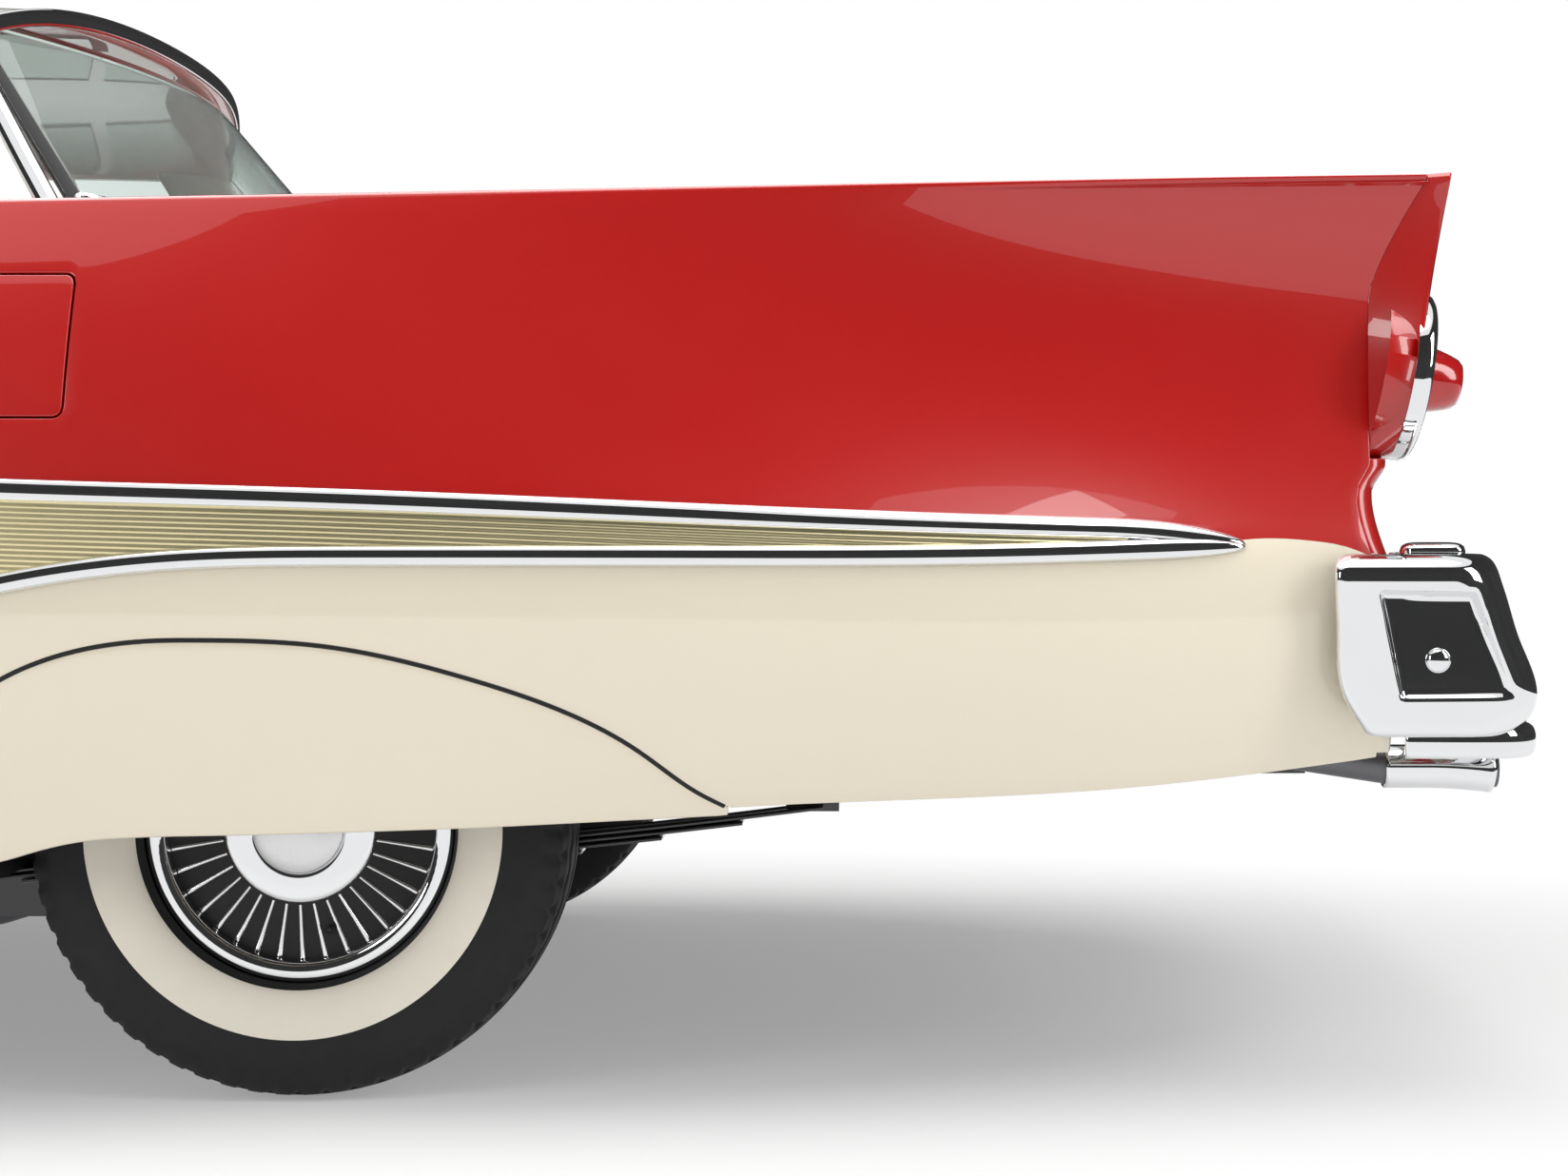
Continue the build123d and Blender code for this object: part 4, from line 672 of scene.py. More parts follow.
# %% Wheel covers and fuel flap
SKIRT_GAP = 3.0 * MM
skirt_x = spread(
    (SKIRT_FRONT_X + SKIRT_GAP, SKIRT_FRONT_X + 14 * MM, 14), (
        SKIRT_FRONT_X + 16 * MM, SKIRT_REAR_X - 8 * MM, 90
    )
)
SKIRT_FOOT = MM * np.array(
    [
        [-448, 304], [-400, 303], [-350, 305], [-300, 318], [-240, 338], [-150, 344], [0, 346], [250, 353],
        [541, 366]
    ]
)
skirt_foot = np.interp(skirt_x, SKIRT_FOOT[:, 0] + REAR, SKIRT_FOOT[:, 1])
ease = np.ones(9) / 9
skirt_foot[4:-4] = np.convolve(skirt_foot, ease, "valid")
skirt_top = np.maximum(skirt_edge(skirt_x) - SKIRT_GAP, skirt_foot + MM)
skirt_z = ladder([skirt_foot, skirt_top], (18,))
skirt_points = skin(skirt_x[:, None], skirt_z)
points, faces, _ = rolled_panel(
    skirt_points.reshape(-1, 3), grid_quads(*skirt_points.shape[:2]), 12 * MM, roll=4 * MM
)
make_piece(
    "wheel_covers", *both_sides(points, faces), "body", [CREAM], None, ["wheel_skirts"], "cream_paint"
)

FLAP_GAP, HINGE_GAP = 6.0 * MM, 14.0 * MM
flap_x = spread(
    (FUEL_FRONT + HINGE_GAP, FUEL_FRONT + 28 * MM, 8), (FUEL_FRONT + 28 * MM, FUEL_REAR - FUEL_ROUND, 16),
    (FUEL_REAR - FUEL_ROUND, FUEL_REAR - FLAP_GAP, 9),
)
rise = fuel_corner(flap_x, FLAP_GAP)
flap_z = ladder([FUEL_LOW + FLAP_GAP + rise, FUEL_HIGH - FLAP_GAP - rise], (16,))
flap = skin(flap_x[:, None], flap_z)
points, faces, _ = rolled_panel(flap.reshape(-1, 3), grid_quads(*flap.shape[:2]), 14 * MM)
make_piece("fuel_flap", points, faces, "fuel_door", [RED], None, ["fuel_door"], "red_paint")
print("side panels done")

# %% [markdown]
# ## Tail corner and lamp housing
# Under the lamp the quarter turns inwards on a small radius and meets the panel between the lamps.
# Above that, the fin ends in a housing of its own: a loop on the seam is lofted to a loop in the lamp's
# plane, which leans back. Both loops are drawn with the same counts: the round underside, the outer
# side up to the fin's tip, the sloping top and the inner side down again.

# %% Tail corners
TURN_RADIUS, FASCIA_X = 26 * MM, REAR + 1318 * MM
CORNER_END_Y = -672 * MM
corner_z = np.linspace(434 * MM, HOUSING_LOW_Z + 3 * MM, 48)
corner_x = SEAM_X + seam_lean(corner_z) + 1.5 * MM
start = skin(corner_x, corner_z)
taper = np.arctan2(skin(corner_x, corner_z)[:, 1] - skin(corner_x - 20 * MM, corner_z)[:, 1], 20 * MM)
turn = taper + (np.pi / 2 - taper) * np.linspace(0, 1, 13)[:, None]
bend = np.stack([
    corner_x + TURN_RADIUS * (np.sin(turn) - np.sin(taper)),
    start[:, 1] + TURN_RADIUS * (np.cos(taper) - np.cos(turn)),
    corner_z + 0 * turn,
], -1)
share = np.linspace(0, 1, 14)[1:, None]
inwards = np.stack([
    bend[-1, :, 0] + (FASCIA_X - bend[-1, :, 0]) * share**1.6,
    bend[-1, :, 1] + (CORNER_END_Y - bend[-1, :, 1]) * share,
    corner_z + 0 * share,
], -1)
corner_grid = np.concatenate([bend, inwards])
middle = (corner_grid[:-1, :-1] + corner_grid[1:, 1:]) / 2
cream_part = (middle[..., 2] < division_z(middle[..., 0].ravel()).reshape(middle.shape[:2])).ravel()
points, faces, mats = rolled_panel(
    corner_grid.reshape(-1, 3), grid_quads(*corner_grid.shape[:2]), 8 * MM, face_mats=cream_part.astype(int)
)
points, faces = both_sides(points, faces)
make_piece("tail_corners", points, faces, "body", [RED, CREAM], np.tile(mats, 2), (), "two_tone_paint")
print("tail corners", len(faces))

# %% Lamp housings
LAMP_Y, LAMP_Z, LAMP_X, LAMP_TILT = -797 * MM, 890 * MM, REAR + 1355 * MM, np.radians(9.0)
LAMP_AXIS = np.array([np.cos(LAMP_TILT), 0, -np.sin(LAMP_TILT)])
LAMP_CENTRE = np.array([LAMP_X, LAMP_Y, LAMP_Z])
HOUSING_R, FIN_TIP, FIN_INNER = 100 * MM, MM * np.array([-900, 1129]), MM * np.array([-826, 1070])


def round_points(centre, radius, start, end, count):
    """Points of a circle in the car's cross plane; angles in degrees from inboard, upwards positive."""
    angle = np.radians(np.linspace(start, end, count, endpoint=False))
    return centre + radius * np.stack([np.cos(angle), np.sin(angle)], -1)


def straight_points(a, b, count):
    """Points from a towards b, without b."""
    return a + (np.asarray(b) - a) * np.arange(count)[:, None] / count


def lamp_plane_x(yz):
    """x of the lamp's leaning plane at a height."""
    return LAMP_X + (yz[:, 1] - LAMP_Z) * np.tan(LAMP_TILT)


def resampled(points, count):
    """The same line with points at even distances along it, without its last one."""
    along = np.concatenate([[0], np.cumsum(np.linalg.norm(np.diff(points, axis=0), axis=1))])
    want = np.linspace(0, along[-1], count, endpoint=False)
    return np.stack([np.interp(want, along, column) for column in points.T], -1)


COUNTS = (22, 34, 14, 22, 40)
centre = np.array([LAMP_Y, LAMP_Z])
inner_touch = centre + HOUSING_R * np.array([np.cos(np.radians(42)), np.sin(np.radians(42))])
rear_side = round_points(centre, HOUSING_R, 180, 160, 8)
neck = MM * np.array([-866, 1000])
t = np.linspace(0, 1, 9)[:, None]
side_way, top_way = unit(neck - FIN_TIP), unit(FIN_INNER - FIN_TIP)
tip = FIN_TIP + TOP_ROUND * ((1 - t) ** 2 * side_way + t**2 * top_way)
u = np.linspace(0, 1, 16)[1:, None]
sweep_up = (1 - u) ** 2 * rear_side[-1] + 2 * u * (1 - u) * neck + u**2 * tip[0]
rear_loop = np.vstack([
    round_points(centre, HOUSING_R, 270, 180, COUNTS[0]),
    resampled(np.vstack([rear_side, sweep_up, tip[1:5]]), COUNTS[1]),
    resampled(np.vstack([tip[4:], FIN_INNER]), COUNTS[2]),
    straight_points(FIN_INNER, inner_touch, COUNTS[3]),
    round_points(centre, HOUSING_R, 42, -90, COUNTS[4]),
])
rear_points = np.column_stack([lamp_plane_x(rear_loop), rear_loop])

# On the seam the upper loop is the quarter's own rear edge. The underside is a squared ellipse, whose
# outer half lies on the skin.
quarter_edge = grid[-1] + [1.5 * MM, 0, 0]
upper_edge = quarter_edge[quarter_edge[:, 2] > LAMP_Z]
upper_edge = upper_edge[: np.argmax(upper_edge[:, 1]) + 1]
crest = np.argmax(upper_edge[:, 2])
sweep = np.radians(np.linspace(90, 0, COUNTS[0], endpoint=False))
low_z = LAMP_Z - (LAMP_Z - HOUSING_LOW_Z) * np.sin(sweep) ** 0.4
on_skin = skin(SEAM_X + seam_lean(low_z) + 1.5 * MM, low_z)
on_skin[:, 1] = LAMP_Y + (on_skin[:, 1] - LAMP_Y) * np.cos(sweep) ** 0.4
side_start = skin(SEAM_X + 1.5 * MM, LAMP_Z)[None]
inner_front = upper_edge[-1]
SEAM_R, TOUCH_ANGLE = 90 * MM, np.radians(38)
touch = np.array([SEAM_X, LAMP_Y + SEAM_R * np.cos(TOUCH_ANGLE), LAMP_Z + SEAM_R * np.sin(TOUCH_ANGLE)])
angle = np.linspace(TOUCH_ANGLE, -np.pi / 2, COUNTS[4], endpoint=False)
deep = np.where(angle < 0, LAMP_Z - HOUSING_LOW_Z, SEAM_R)
flat_power = np.where(angle < 0, 0.6, 1.0)
under = np.stack([
    np.full(COUNTS[4], SEAM_X),
    LAMP_Y + SEAM_R * np.cos(angle) ** flat_power,
    LAMP_Z + deep * np.sign(angle) * np.abs(np.sin(angle)) ** flat_power,
], -1)
front_points = np.vstack([
    on_skin,
    resampled(np.vstack([side_start, upper_edge[: crest + 1]]), COUNTS[1]),
    resampled(upper_edge[crest:], COUNTS[2]),
    straight_points(inner_front, touch, COUNTS[3]),
    under,
])

share = np.linspace(0, 1, 14)[:, None, None]
walls = front_points + (rear_points - front_points) * share
lip = [
    rear_points + LAMP_AXIS * d - unit(rear_points - LAMP_CENTRE) * i for d,
    i in MM * np.array([[1.2, 0.6], [2, 2.2]])
]
ring_angle = np.concatenate([
    np.linspace(a, b, n, endpoint=False)
    for (a, b), n in zip(((270, 180), (180, 130), (130, 100), (100, 42), (42, -90)), COUNTS)
])
ring = centre + 97 * MM * np.stack([np.cos(np.radians(ring_angle)), np.sin(np.radians(ring_angle))], -1)
ring_points = np.column_stack([lamp_plane_x(ring), ring]) + LAMP_AXIS * 2 * MM
pit = ring_points - LAMP_AXIS * 40 * MM
housing = np.concatenate([walls, *[r[None] for r in lip], ring_points[None], pit[None]])
faces = grid_quads(*housing.shape[:2], False, True)
make_piece(
    "lamp_housings", *both_sides(housing.reshape(-1, 3), faces), "body", [RED], None, (), "red_paint"
)
print("lamp housings", housing.shape)

# %% [markdown]
# ## Tail lamps
# A plated bezel surrounds a deep red lens with concentric steps, and a cone stands out of its middle.
# Both are profiles turned about the lamp's axis, which points slightly down.

# %% Tail lamps
BEZEL = MM * np.array([
    [103, -6], [103.5, 4], [103, 10], [101, 14], [97, 17], [92, 16.5], [88, 13], [85.5, 7], [84.5, 0],
    [84, -20],
])
LENS = MM * np.array([
    [84, 2], [82, 6], [79, 8], [75, 8], [73, 10], [69, 10.5], [66, 9.5], [64, 11.5], [60, 12], [57, 11],
    [55, 13],
    [50, 13.5], [46, 14], [43, 17], [41, 24], [38, 38], [34, 52], [30, 62], [25, 67], [18, 69], [9, 70],
    [0, 70.2],
])
lamp_face = LAMP_CENTRE + LAMP_AXIS * 2 * MM
make_piece(
    "tail_bezels", *both_sides(*lathe(BEZEL, lamp_face, LAMP_AXIS, 96)), "body", [CHROME], None,
    ["tail_lamp_rims"], "chrome"
)
make_piece(
    "tail_lenses", *both_sides(*lathe(LENS, lamp_face, LAMP_AXIS, 96)), "body", [LENS_RED], None,
    ["tail_lamps"], "red_lens"
)
print("tail lamps", len(BEZEL), len(LENS))

# %% [markdown]
# ## Panel between the lamps
# A plain sheet with a slight crown: its middle stands a few centimetres further back than its ends.

# %% Tail panel
across_y = np.linspace(-772, 772, 60) * MM
share_y = (across_y / (772 * MM))[:, None]
top_edge = 1031 * MM + 22 * MM * (1 - share_y**2)
panel_z = 505 * MM + (top_edge - 505 * MM) * np.linspace(0, 1, 24)
panel_x = REAR + 1350 * MM - 46 * MM * share_y**2 + 0 * panel_z
panel = np.stack([panel_x, across_y[:, None] + 0 * panel_z, panel_z], -1)
middle_z = (panel[:-1, :-1, 2] + panel[1:, 1:, 2]) / 2
points, faces, mats = rolled_panel(
    panel.reshape(-1, 3), grid_quads(*panel.shape[:2]), 10 * MM,
    face_mats=(middle_z < 664 * MM).astype(int).ravel(),
)
make_piece("tail_sheet", points, faces, "body", [RED, CREAM], mats, ["tail_panel"], "red_paint")
print("tail sheet", len(faces))

# %% [markdown]
# ## Rear bumper
# The bumper's ends wrap round the corners of the body as deep plated wings. In plan each level is a
# straight side, a round corner and a straight back; the levels' lengths change with height, and the
# edges roll in. A sunk panel with a soft edge is pressed into the side: inside its four edges the depth
# rises smoothly with the distance to the nearest edge.

# %% Rear bumper wings
TAIL = REAR + 1505 * MM
WING_LEVELS = MM * np.array([
    [458, -216, 934, -34], [480, -231, 942, -15], [505, -246, 947, -8], [572, -256, 956, -31],
    [625, -259, 964, -49],
    [645, -260, 966, -56], [660, -258, 962, -61], [673, -250, 950, -68],
])
WING_RECESS = MM * np.array([[-210, 633], [-94, 630], [-42, 504], [-182, 502]])
RECESS_Y, RECESS_SOFT = -940 * MM, 8 * MM
wing_level = smooth_curve(WING_LEVELS[:, 0], WING_LEVELS[:, 1:])


def wing_row(z, inset):
    """One level of the wing in plan, as x and y: a turned-in front edge, side, corner, back and end."""
    front, reach, rear = wing_level(np.array([z]))[0]
    reach, rear, radius = reach - inset, rear - inset, 64 * MM - inset
    small = 10 * MM
    turn_in = np.linspace(0, np.pi / 2, 7)
    first = np.column_stack(
        [front + small * (1 - np.sin(turn_in)) + inset, -reach + small * (1 - np.cos(turn_in))]
    )[::-1]
    side = np.column_stack(
        [np.linspace(front + small + inset, rear - radius, 46)[1:-1], np.full(44, -reach)]
    )
    angle = np.linspace(0, np.pi / 2, 46)
    bend_ = np.column_stack([rear - radius + radius * np.sin(angle), -reach + radius * (1 - np.cos(angle))])
    back = np.column_stack([np.full(20, rear), np.linspace(-reach + radius, -590 * MM + inset, 22)[1:-1]])
    end = np.column_stack(
        [rear - 30 * MM * (1 - np.cos(angle[::5])), -590 * MM + 30 * MM * np.sin(angle[::5]) - inset]
    )
    return np.vstack([first, side, bend_, back, end]) + [TAIL, 0]


edge_turn = np.linspace(0, np.pi * 0.62, 9)
WING_ROLL = 9 * MM


def edge_rows(z, way):
    """Height and inset of the rows that roll a wing's edge in, up (1) or down (-1) from a height."""
    inset = [WING_ROLL * (1 - np.cos(a)) + max(0.0, a - np.pi / 2) * 40 * MM for a in edge_turn]
    return [(z + way * WING_ROLL * np.sin(a), i) for a, i in zip(edge_turn, inset)]


low_rows, high_rows = edge_rows(467 * MM, -1), edge_rows(664 * MM, 1)
levels = low_rows[::-1] + [(z, 0.0) for z in np.linspace(467 * MM, 664 * MM, 56)[1:-1]] + high_rows
wing = np.array([np.column_stack([wing_row(z, i), np.full(len(wing_row(z, i)), z)]) for z, i in levels])


def recess_share(x, z):
    """0 outside the sunk panel and 1 inside it, with a smooth step near its edges."""
    corners = WING_RECESS + [TAIL, 0]
    ahead = np.roll(corners, -1, 0) - corners
    inside = np.full(x.shape, 1.0)
    for (cx, cz), (dx, dz) in zip(corners, ahead):
        distance = ((z - cz) * dx - (x - cx) * dz) / np.hypot(dx, dz)
        inside = np.minimum(inside, -distance)
    t = np.clip(inside / RECESS_SOFT, 0, 1)
    return t * t * (3 - 2 * t)


on_side = wing[..., 1] < -900 * MM
sunk = np.where(on_side, recess_share(wing[..., 0], wing[..., 2]), 0)
wing[..., 1] += np.maximum(RECESS_Y - wing[..., 1], 0) * sunk
wing_faces = grid_quads(*wing.shape[:2])[:, ::-1]
wings = both_sides(*rolled_panel(wing.reshape(-1, 3), wing_faces, 3 * MM, 1.2 * MM)[:2])
make_piece("bumper_wings", *wings, "body", [CHROME], None, ["rear_bumper"], "chrome")
print("bumper wings", wing.shape)

# %% Bumper blade, lower bar, bolts and guards
bar_y = np.linspace(-1, 1, 80)


def oval(width, height, count=32, power=2.6):
    """A superellipse: |a| ** p + |b| ** p = 1, scaled to a width and a height."""
    angle = np.linspace(0, 2 * np.pi, count, endpoint=False)
    c, s = np.cos(angle), np.sin(angle)
    return np.stack(
        [
            np.sign(c) * np.abs(c) ** (2 / power) * width / 2,
            np.sign(s) * np.abs(s) ** (2 / power) * height / 2
        ],
        -1
    )


def bead(path, width, height, lift=None):
    """An oval carried along a path; across lies level, and lift is the other way."""
    ahead = unit(np.gradient(path, axis=0))
    up = np.tile([0, 0, 1.0], (len(path), 1)) if lift is None else lift
    side = unit(np.cross(ahead, up))
    return carried_profile(path, side, np.cross(side, ahead), oval(width, height, 20, 2.4))


def cross_bar(half_width, x, z, width, height, bow):
    """A bar across the car that bows back in the middle: x = x0 + bow * (1 - share squared)."""
    path = np.stack([x + bow * (1 - bar_y**2), half_width * bar_y, np.full(80, z)], -1)
    fore, up = np.tile([1.0, 0, 0], (80, 1)), np.tile([0, 0, 1.0], (80, 1))
    return carried_profile(path, fore, up, oval(width, height))


blade = cross_bar(600 * MM, TAIL - 66 * MM, 505 * MM, 34 * MM, 118 * MM, 26 * MM)
bolt_face = np.array([REAR + 1369 * MM, RECESS_Y + MM, 549 * MM])
BOLT = MM * np.array([[15, -3], [15, 1], [13.5, 3.5], [10, 6], [5, 7.6], [0, 8]])
bolt = lathe(BOLT, bolt_face, (0, -1, 0), 40)
guard_x = np.linspace(REAR + 1331 * MM, REAR + 1408 * MM, 24)
guard_path = np.stack([guard_x, np.full(24, -905 * MM), np.full(24, 676 * MM)], -1)
ends = np.sqrt(np.clip(1 - np.abs(np.linspace(-1, 1, 24)) ** 6, 0.02, 1))[:, None, None]
guard = carried_profile(
    guard_path, np.tile([0, 1.0, 0], (24, 1)), np.tile([0, 0, 1.0], (24, 1)), oval(44 * MM, 22 * MM) * ends
)
LOW_BAR = MM * np.array(
    [
        [-168, -906], [-120, -910], [-70, -909], [-38, -900], [-20, -880], [-15, -845], [-14, -700],
        [-14, -400], [-14, 0]
    ]
)
low_line = smooth_curve(np.linspace(0, 1, len(LOW_BAR)), LOW_BAR)(np.linspace(0, 1, 90))
low_path = np.column_stack([TAIL + low_line[:, 0], low_line[:, 1], np.full(90, 451 * MM)])
low_path = np.vstack([low_path, low_path[-2::-1] * [1, -1, 1]])
low_bar = bead(low_path, 24 * MM, 40 * MM)
bars = join(blade, low_bar, both_sides(*bolt), both_sides(*guard))
make_piece("bumper_bars", *bars, "body", [CHROME], None, (), "chrome")
print("bumper bars", len(bars[1]))

# %% [markdown]
# ## Side mouldings
# Two plated spears run along the side and close up in a bullet behind the rear wheel. Each is a rounded
# profile carried along a line on the skin: across is the way up the skin, and height is along its normal.
# They are cut at the shut lines, so each length rides on its own panel.

# %% Moulding lines
SPEAR_END, BULLET = REAR + 1146 * MM, 130 * MM
LOWER_KNOTS = MM * np.array([
    [-1000, 736], [-950, 712], [-830, 628], [-740, 570], [-650, 548], [-545, 572], [-430, 606], [-317, 636],
    [-205, 656],
    [-90, 667], [100, 671], [500, 671], [900, 674], [1030, 678], [1150, 682],
])
UPPER_KNOTS = MM * np.array([
    [-1120, 782], [-900, 773], [-600, 761], [-330, 749], [0, 739], [300, 728], [737, 710], [940, 704],
    [1030, 700], [1150, 684],
])
FORE_KNOTS = MM * np.array(
    [[-3700, 822], [-2997, 816], [-2400, 812], [-1800, 804], [-1300, 793], [-1080, 782]]
)
lower_line = smooth_curve(LOWER_KNOTS[:, 0] + REAR, LOWER_KNOTS[:, 1])
upper_line = smooth_curve(UPPER_KNOTS[:, 0] + REAR, UPPER_KNOTS[:, 1])
fore_line = smooth_curve(FORE_KNOTS[:, 0] + REAR, FORE_KNOTS[:, 1])


def half_round(width, height, count=18):
    """A moulding's closed section: a round top, |a| ** 2.4 + b ** 2.4 = 1, and a flat back in the skin."""
    angle = np.linspace(0, np.pi, count)
    across = np.sign(np.cos(angle)) * np.abs(np.cos(angle)) ** (2 / 2.4) * width / 2
    rise = np.sin(angle) ** (2 / 2.4) * height
    back = np.stack([np.linspace(-1, 1, 8)[1:-1] * width / 2, np.full(6, -2 * MM)], -1)
    return np.vstack([np.stack([across, rise], -1), back])


def moulding(line, x, width, height, shrink=None):
    """A section carried along z = line(x) on the skin; shrink scales it, point by point."""
    z = line(x)
    path, lift = skin(x, z), skin_normal(x, z)
    ahead = unit(np.gradient(path, axis=0))
    side = np.cross(lift, ahead)
    section = np.broadcast_to(half_round(width, height), (len(x), 24, 2))
    if shrink is not None:
        section = section * shrink[:, None, None]
    return carried_profile(path, side, lift, section)


def bullet_shrink(x):
    """Full size up to the bullet, then the square root curve of a round nose."""
    share = np.clip((x - (SPEAR_END - BULLET)) / BULLET, 0, 0.999)
    return np.sqrt(1 - share**2.4)


# %% Mouldings on the quarters, doors and fenders
quarter_run = spread((DOOR_REAR + 1.5 * MM, SPEAR_END - BULLET, 110), (SPEAR_END - BULLET, SPEAR_END, 26))
door_run = np.linspace(DOOR_FRONT + 4 * MM, DOOR_REAR - 8 * MM, 60)
fender_run = np.linspace(FENDER_FRONT + 40 * MM, DOOR_FRONT - 12 * MM, 60)
quarter_spears = join(
    moulding(upper_line, quarter_run, 27 * MM, 10 * MM, bullet_shrink(quarter_run)),
    moulding(lower_line, quarter_run, 25 * MM, 11 * MM, bullet_shrink(quarter_run)),
)
meet = np.clip((door_run - (REAR - 1120 * MM)) / (120 * MM), 0, 1)
blend_z = fore_line(door_run) * (1 - meet) + upper_line(np.maximum(door_run, REAR - 1120 * MM)) * meet
door_line = smooth_curve(door_run, blend_z)
low_run = door_run[door_run > REAR - 985 * MM]
low_ends = np.sqrt(np.clip((low_run - low_run[0]) / (40 * MM), 0.02, 1))
door_spears = join(
    moulding(door_line, door_run, 27 * MM, 10 * MM),
    moulding(lower_line, low_run, 25 * MM, 11 * MM, low_ends)
)
fender_ends = np.sqrt(np.clip((fender_run - fender_run[0]) / (60 * MM), 0.02, 1))
fender_spears = moulding(fore_line, fender_run, 27 * MM, 10 * MM, fender_ends)
make_piece("quarter_spears", *both_sides(*quarter_spears), "body", [CHROME], None, (), "chrome")
make_piece("fender_spears", *both_sides(*fender_spears), "body", [CHROME], None, (), "chrome")
make_piece("door_spear_left", *door_spears, "door_left", [CHROME], None, (), "chrome")
make_piece("door_spear_right", *mirrored(*door_spears), "door_right", [CHROME], None, (), "chrome")
print("mouldings", len(quarter_spears[1]), len(door_spears[1]))

# %% [markdown]
# ## Gold insert
# Between the spears lies a sheet of gold-coloured metal with fine ribs, which follow the upper spear.
# Rows are laid at fixed distances under the upper line, four to a rib; the height of the sheet above
# the skin is a cosine of that distance. Where the lower spear is reached, the rows stop on it.

# %% Gold inserts
RIB_PITCH, RIB_HEIGHT = 6.2 * MM, 0.9 * MM


def insert_sheet(x, upper, lower):
    """Skin points between two lines, lifted by half a cosine wave for each rib."""
    top, low = upper(x)[:, None] - 9 * MM, lower(x)[:, None] + 8 * MM
    deepest = (top - low).max()
    offset = np.arange(0, deepest + RIB_PITCH / 4, RIB_PITCH / 4)
    z = np.maximum(top - offset, np.minimum(low, top - 0.1 * MM))
    wave = 1.2 * MM + RIB_HEIGHT * (0.5 - 0.5 * np.cos(2 * np.pi * offset / RIB_PITCH))
    flat = skin(x[:, None], z)
    sheet = flat + skin_normal(x[:, None] + 0 * z, z) * wave[None, :, None]
    quads = grid_quads(*sheet.shape[:2])[:, ::-1]
    corner = sheet.reshape(-1, 3)[quads]
    area = np.linalg.norm(np.cross(corner[:, 2] - corner[:, 0], corner[:, 3] - corner[:, 1]), axis=1)
    return sheet.reshape(-1, 3), quads[area > 2e-8]


quarter_gold = insert_sheet(
    np.linspace(DOOR_REAR + 1.5 * MM, REAR + 1005 * MM, 100), upper_line, lower_line
)
door_gold = insert_sheet(np.linspace(REAR - 970 * MM, DOOR_REAR - 8 * MM, 30), door_line, lower_line)
make_piece("quarter_inserts", *both_sides(*quarter_gold), "body", [GOLD], None, (), "aluminium")
make_piece("door_insert_left", *door_gold, "door_left", [GOLD], None, (), "aluminium")
make_piece("door_insert_right", *mirrored(*door_gold), "door_right", [GOLD], None, (), "aluminium")
print("gold inserts", len(quarter_gold[1]), len(door_gold[1]))

# %% [markdown]
# ## Seals and the filler pocket
# A bead of black rubber fills the gap round the wheel cover. Behind the fuel flap is a dark pocket with
# the filler cap in it.

# %% Wheel cover seals
seal_share = np.linspace(0, 1, 120)
seal_x = SKIRT_FRONT_X + 1.5 * MM + (SKIRT_REAR_X - 10 * MM - SKIRT_FRONT_X) * (
    0.5 - 0.5 * np.cos(np.pi * seal_share)
) ** 1.25
seal_z = np.maximum(skirt_edge(seal_x) - 0.5 * MM, section_at(seal_x)[:, 0])
seal_path = skin(seal_x, seal_z)
seal_lift = skin_normal(seal_x, seal_z)
seal_side = np.cross(seal_lift, unit(np.gradient(seal_path, axis=0)))
seal = carried_profile(
    seal_path - seal_lift * 1.5 * MM, seal_side, seal_lift, oval(6.5 * MM, 6.5 * MM, 16, 2.0)
)
make_piece("cover_seals", *both_sides(*seal), "body", [SEAL], None, (), "black_paint")

# %% Filler pocket
pocket_x = spread((FUEL_FRONT - 6 * MM, FUEL_REAR + 6 * MM, 14))
pocket_z = np.linspace(FUEL_LOW - 6 * MM, FUEL_HIGH + 6 * MM, 14)
pocket = skin(pocket_x[:, None], pocket_z[None, :] + 0 * pocket_x[:, None])
floor_ = pocket - skin_normal(pocket_x[:, None] + 0 * pocket_z, pocket_z + 0 * pocket_x[:, None]) * 36 * MM
shell = rolled_panel(floor_.reshape(-1, 3), grid_quads(14, 14), 4 * MM)[:2]
edge_in = np.concatenate([pocket[:, 0], pocket[-1, 1:], pocket[-2::-1, -1], pocket[0, -2:0:-1]])
edge_deep = np.concatenate([floor_[:, 0], floor_[-1, 1:], floor_[-2::-1, -1], floor_[0, -2:0:-1]])
edge_in = edge_in + (edge_deep - edge_in) * 0.28
wall = np.stack([edge_in, edge_deep], 1)
middle_point = wall.reshape(-1, 3).mean(0)
outside = wall + unit(wall - middle_point) * 3 * MM
tube = np.concatenate([wall, outside[:, ::-1]], 1)
tube_faces = grid_quads(tube.shape[0], 4, True, True)
cap_centre = floor_[7, 6] + skin_normal(pocket_x[7:8], pocket_z[6:7])[0] * 2 * MM
CAP = MM * np.array([[40, -3], [40, 10], [38, 13], [30, 14], [28, 18], [12, 20], [0, 20]])
cap = lathe(CAP, cap_centre, skin_normal(pocket_x[7:8], pocket_z[6:7])[0], 60)
make_piece(
    "filler_pocket", *join(shell, (tube.reshape(-1, 3), tube_faces)), "body", [BLACK_PAINT], None, (),
    "black_paint"
)
make_piece("filler_cap", *cap, "body", [STEEL], None, (), "steel")
print("seals and filler done")

# %% [markdown]
# ## Tyres
# A tyre is a section turned about the axle. The white band is a set of rows on the outer side with a
# finish of its own. The tread has three zigzag grooves and cut shoulders: the radius drops where a point
# lies in a groove, which is a test on its distance across the tread and its angle.

# %% Tyre shape
TYRE_R = AXLE_Z
# The section from the outer bead over the tread to the inner bead: radius and distance out.
SIDE = MM * np.array([
    [192, 62], [197, 75], [203, 83], [215, 90], [232, 96], [250, 98], [258, 98.2], [272, 98], [288, 95.5],
    [300, 92],
    [311, 87], [320, 81.5], [327, 75],
])
GROOVE_YS = MM * np.array([-38, 0, 38])


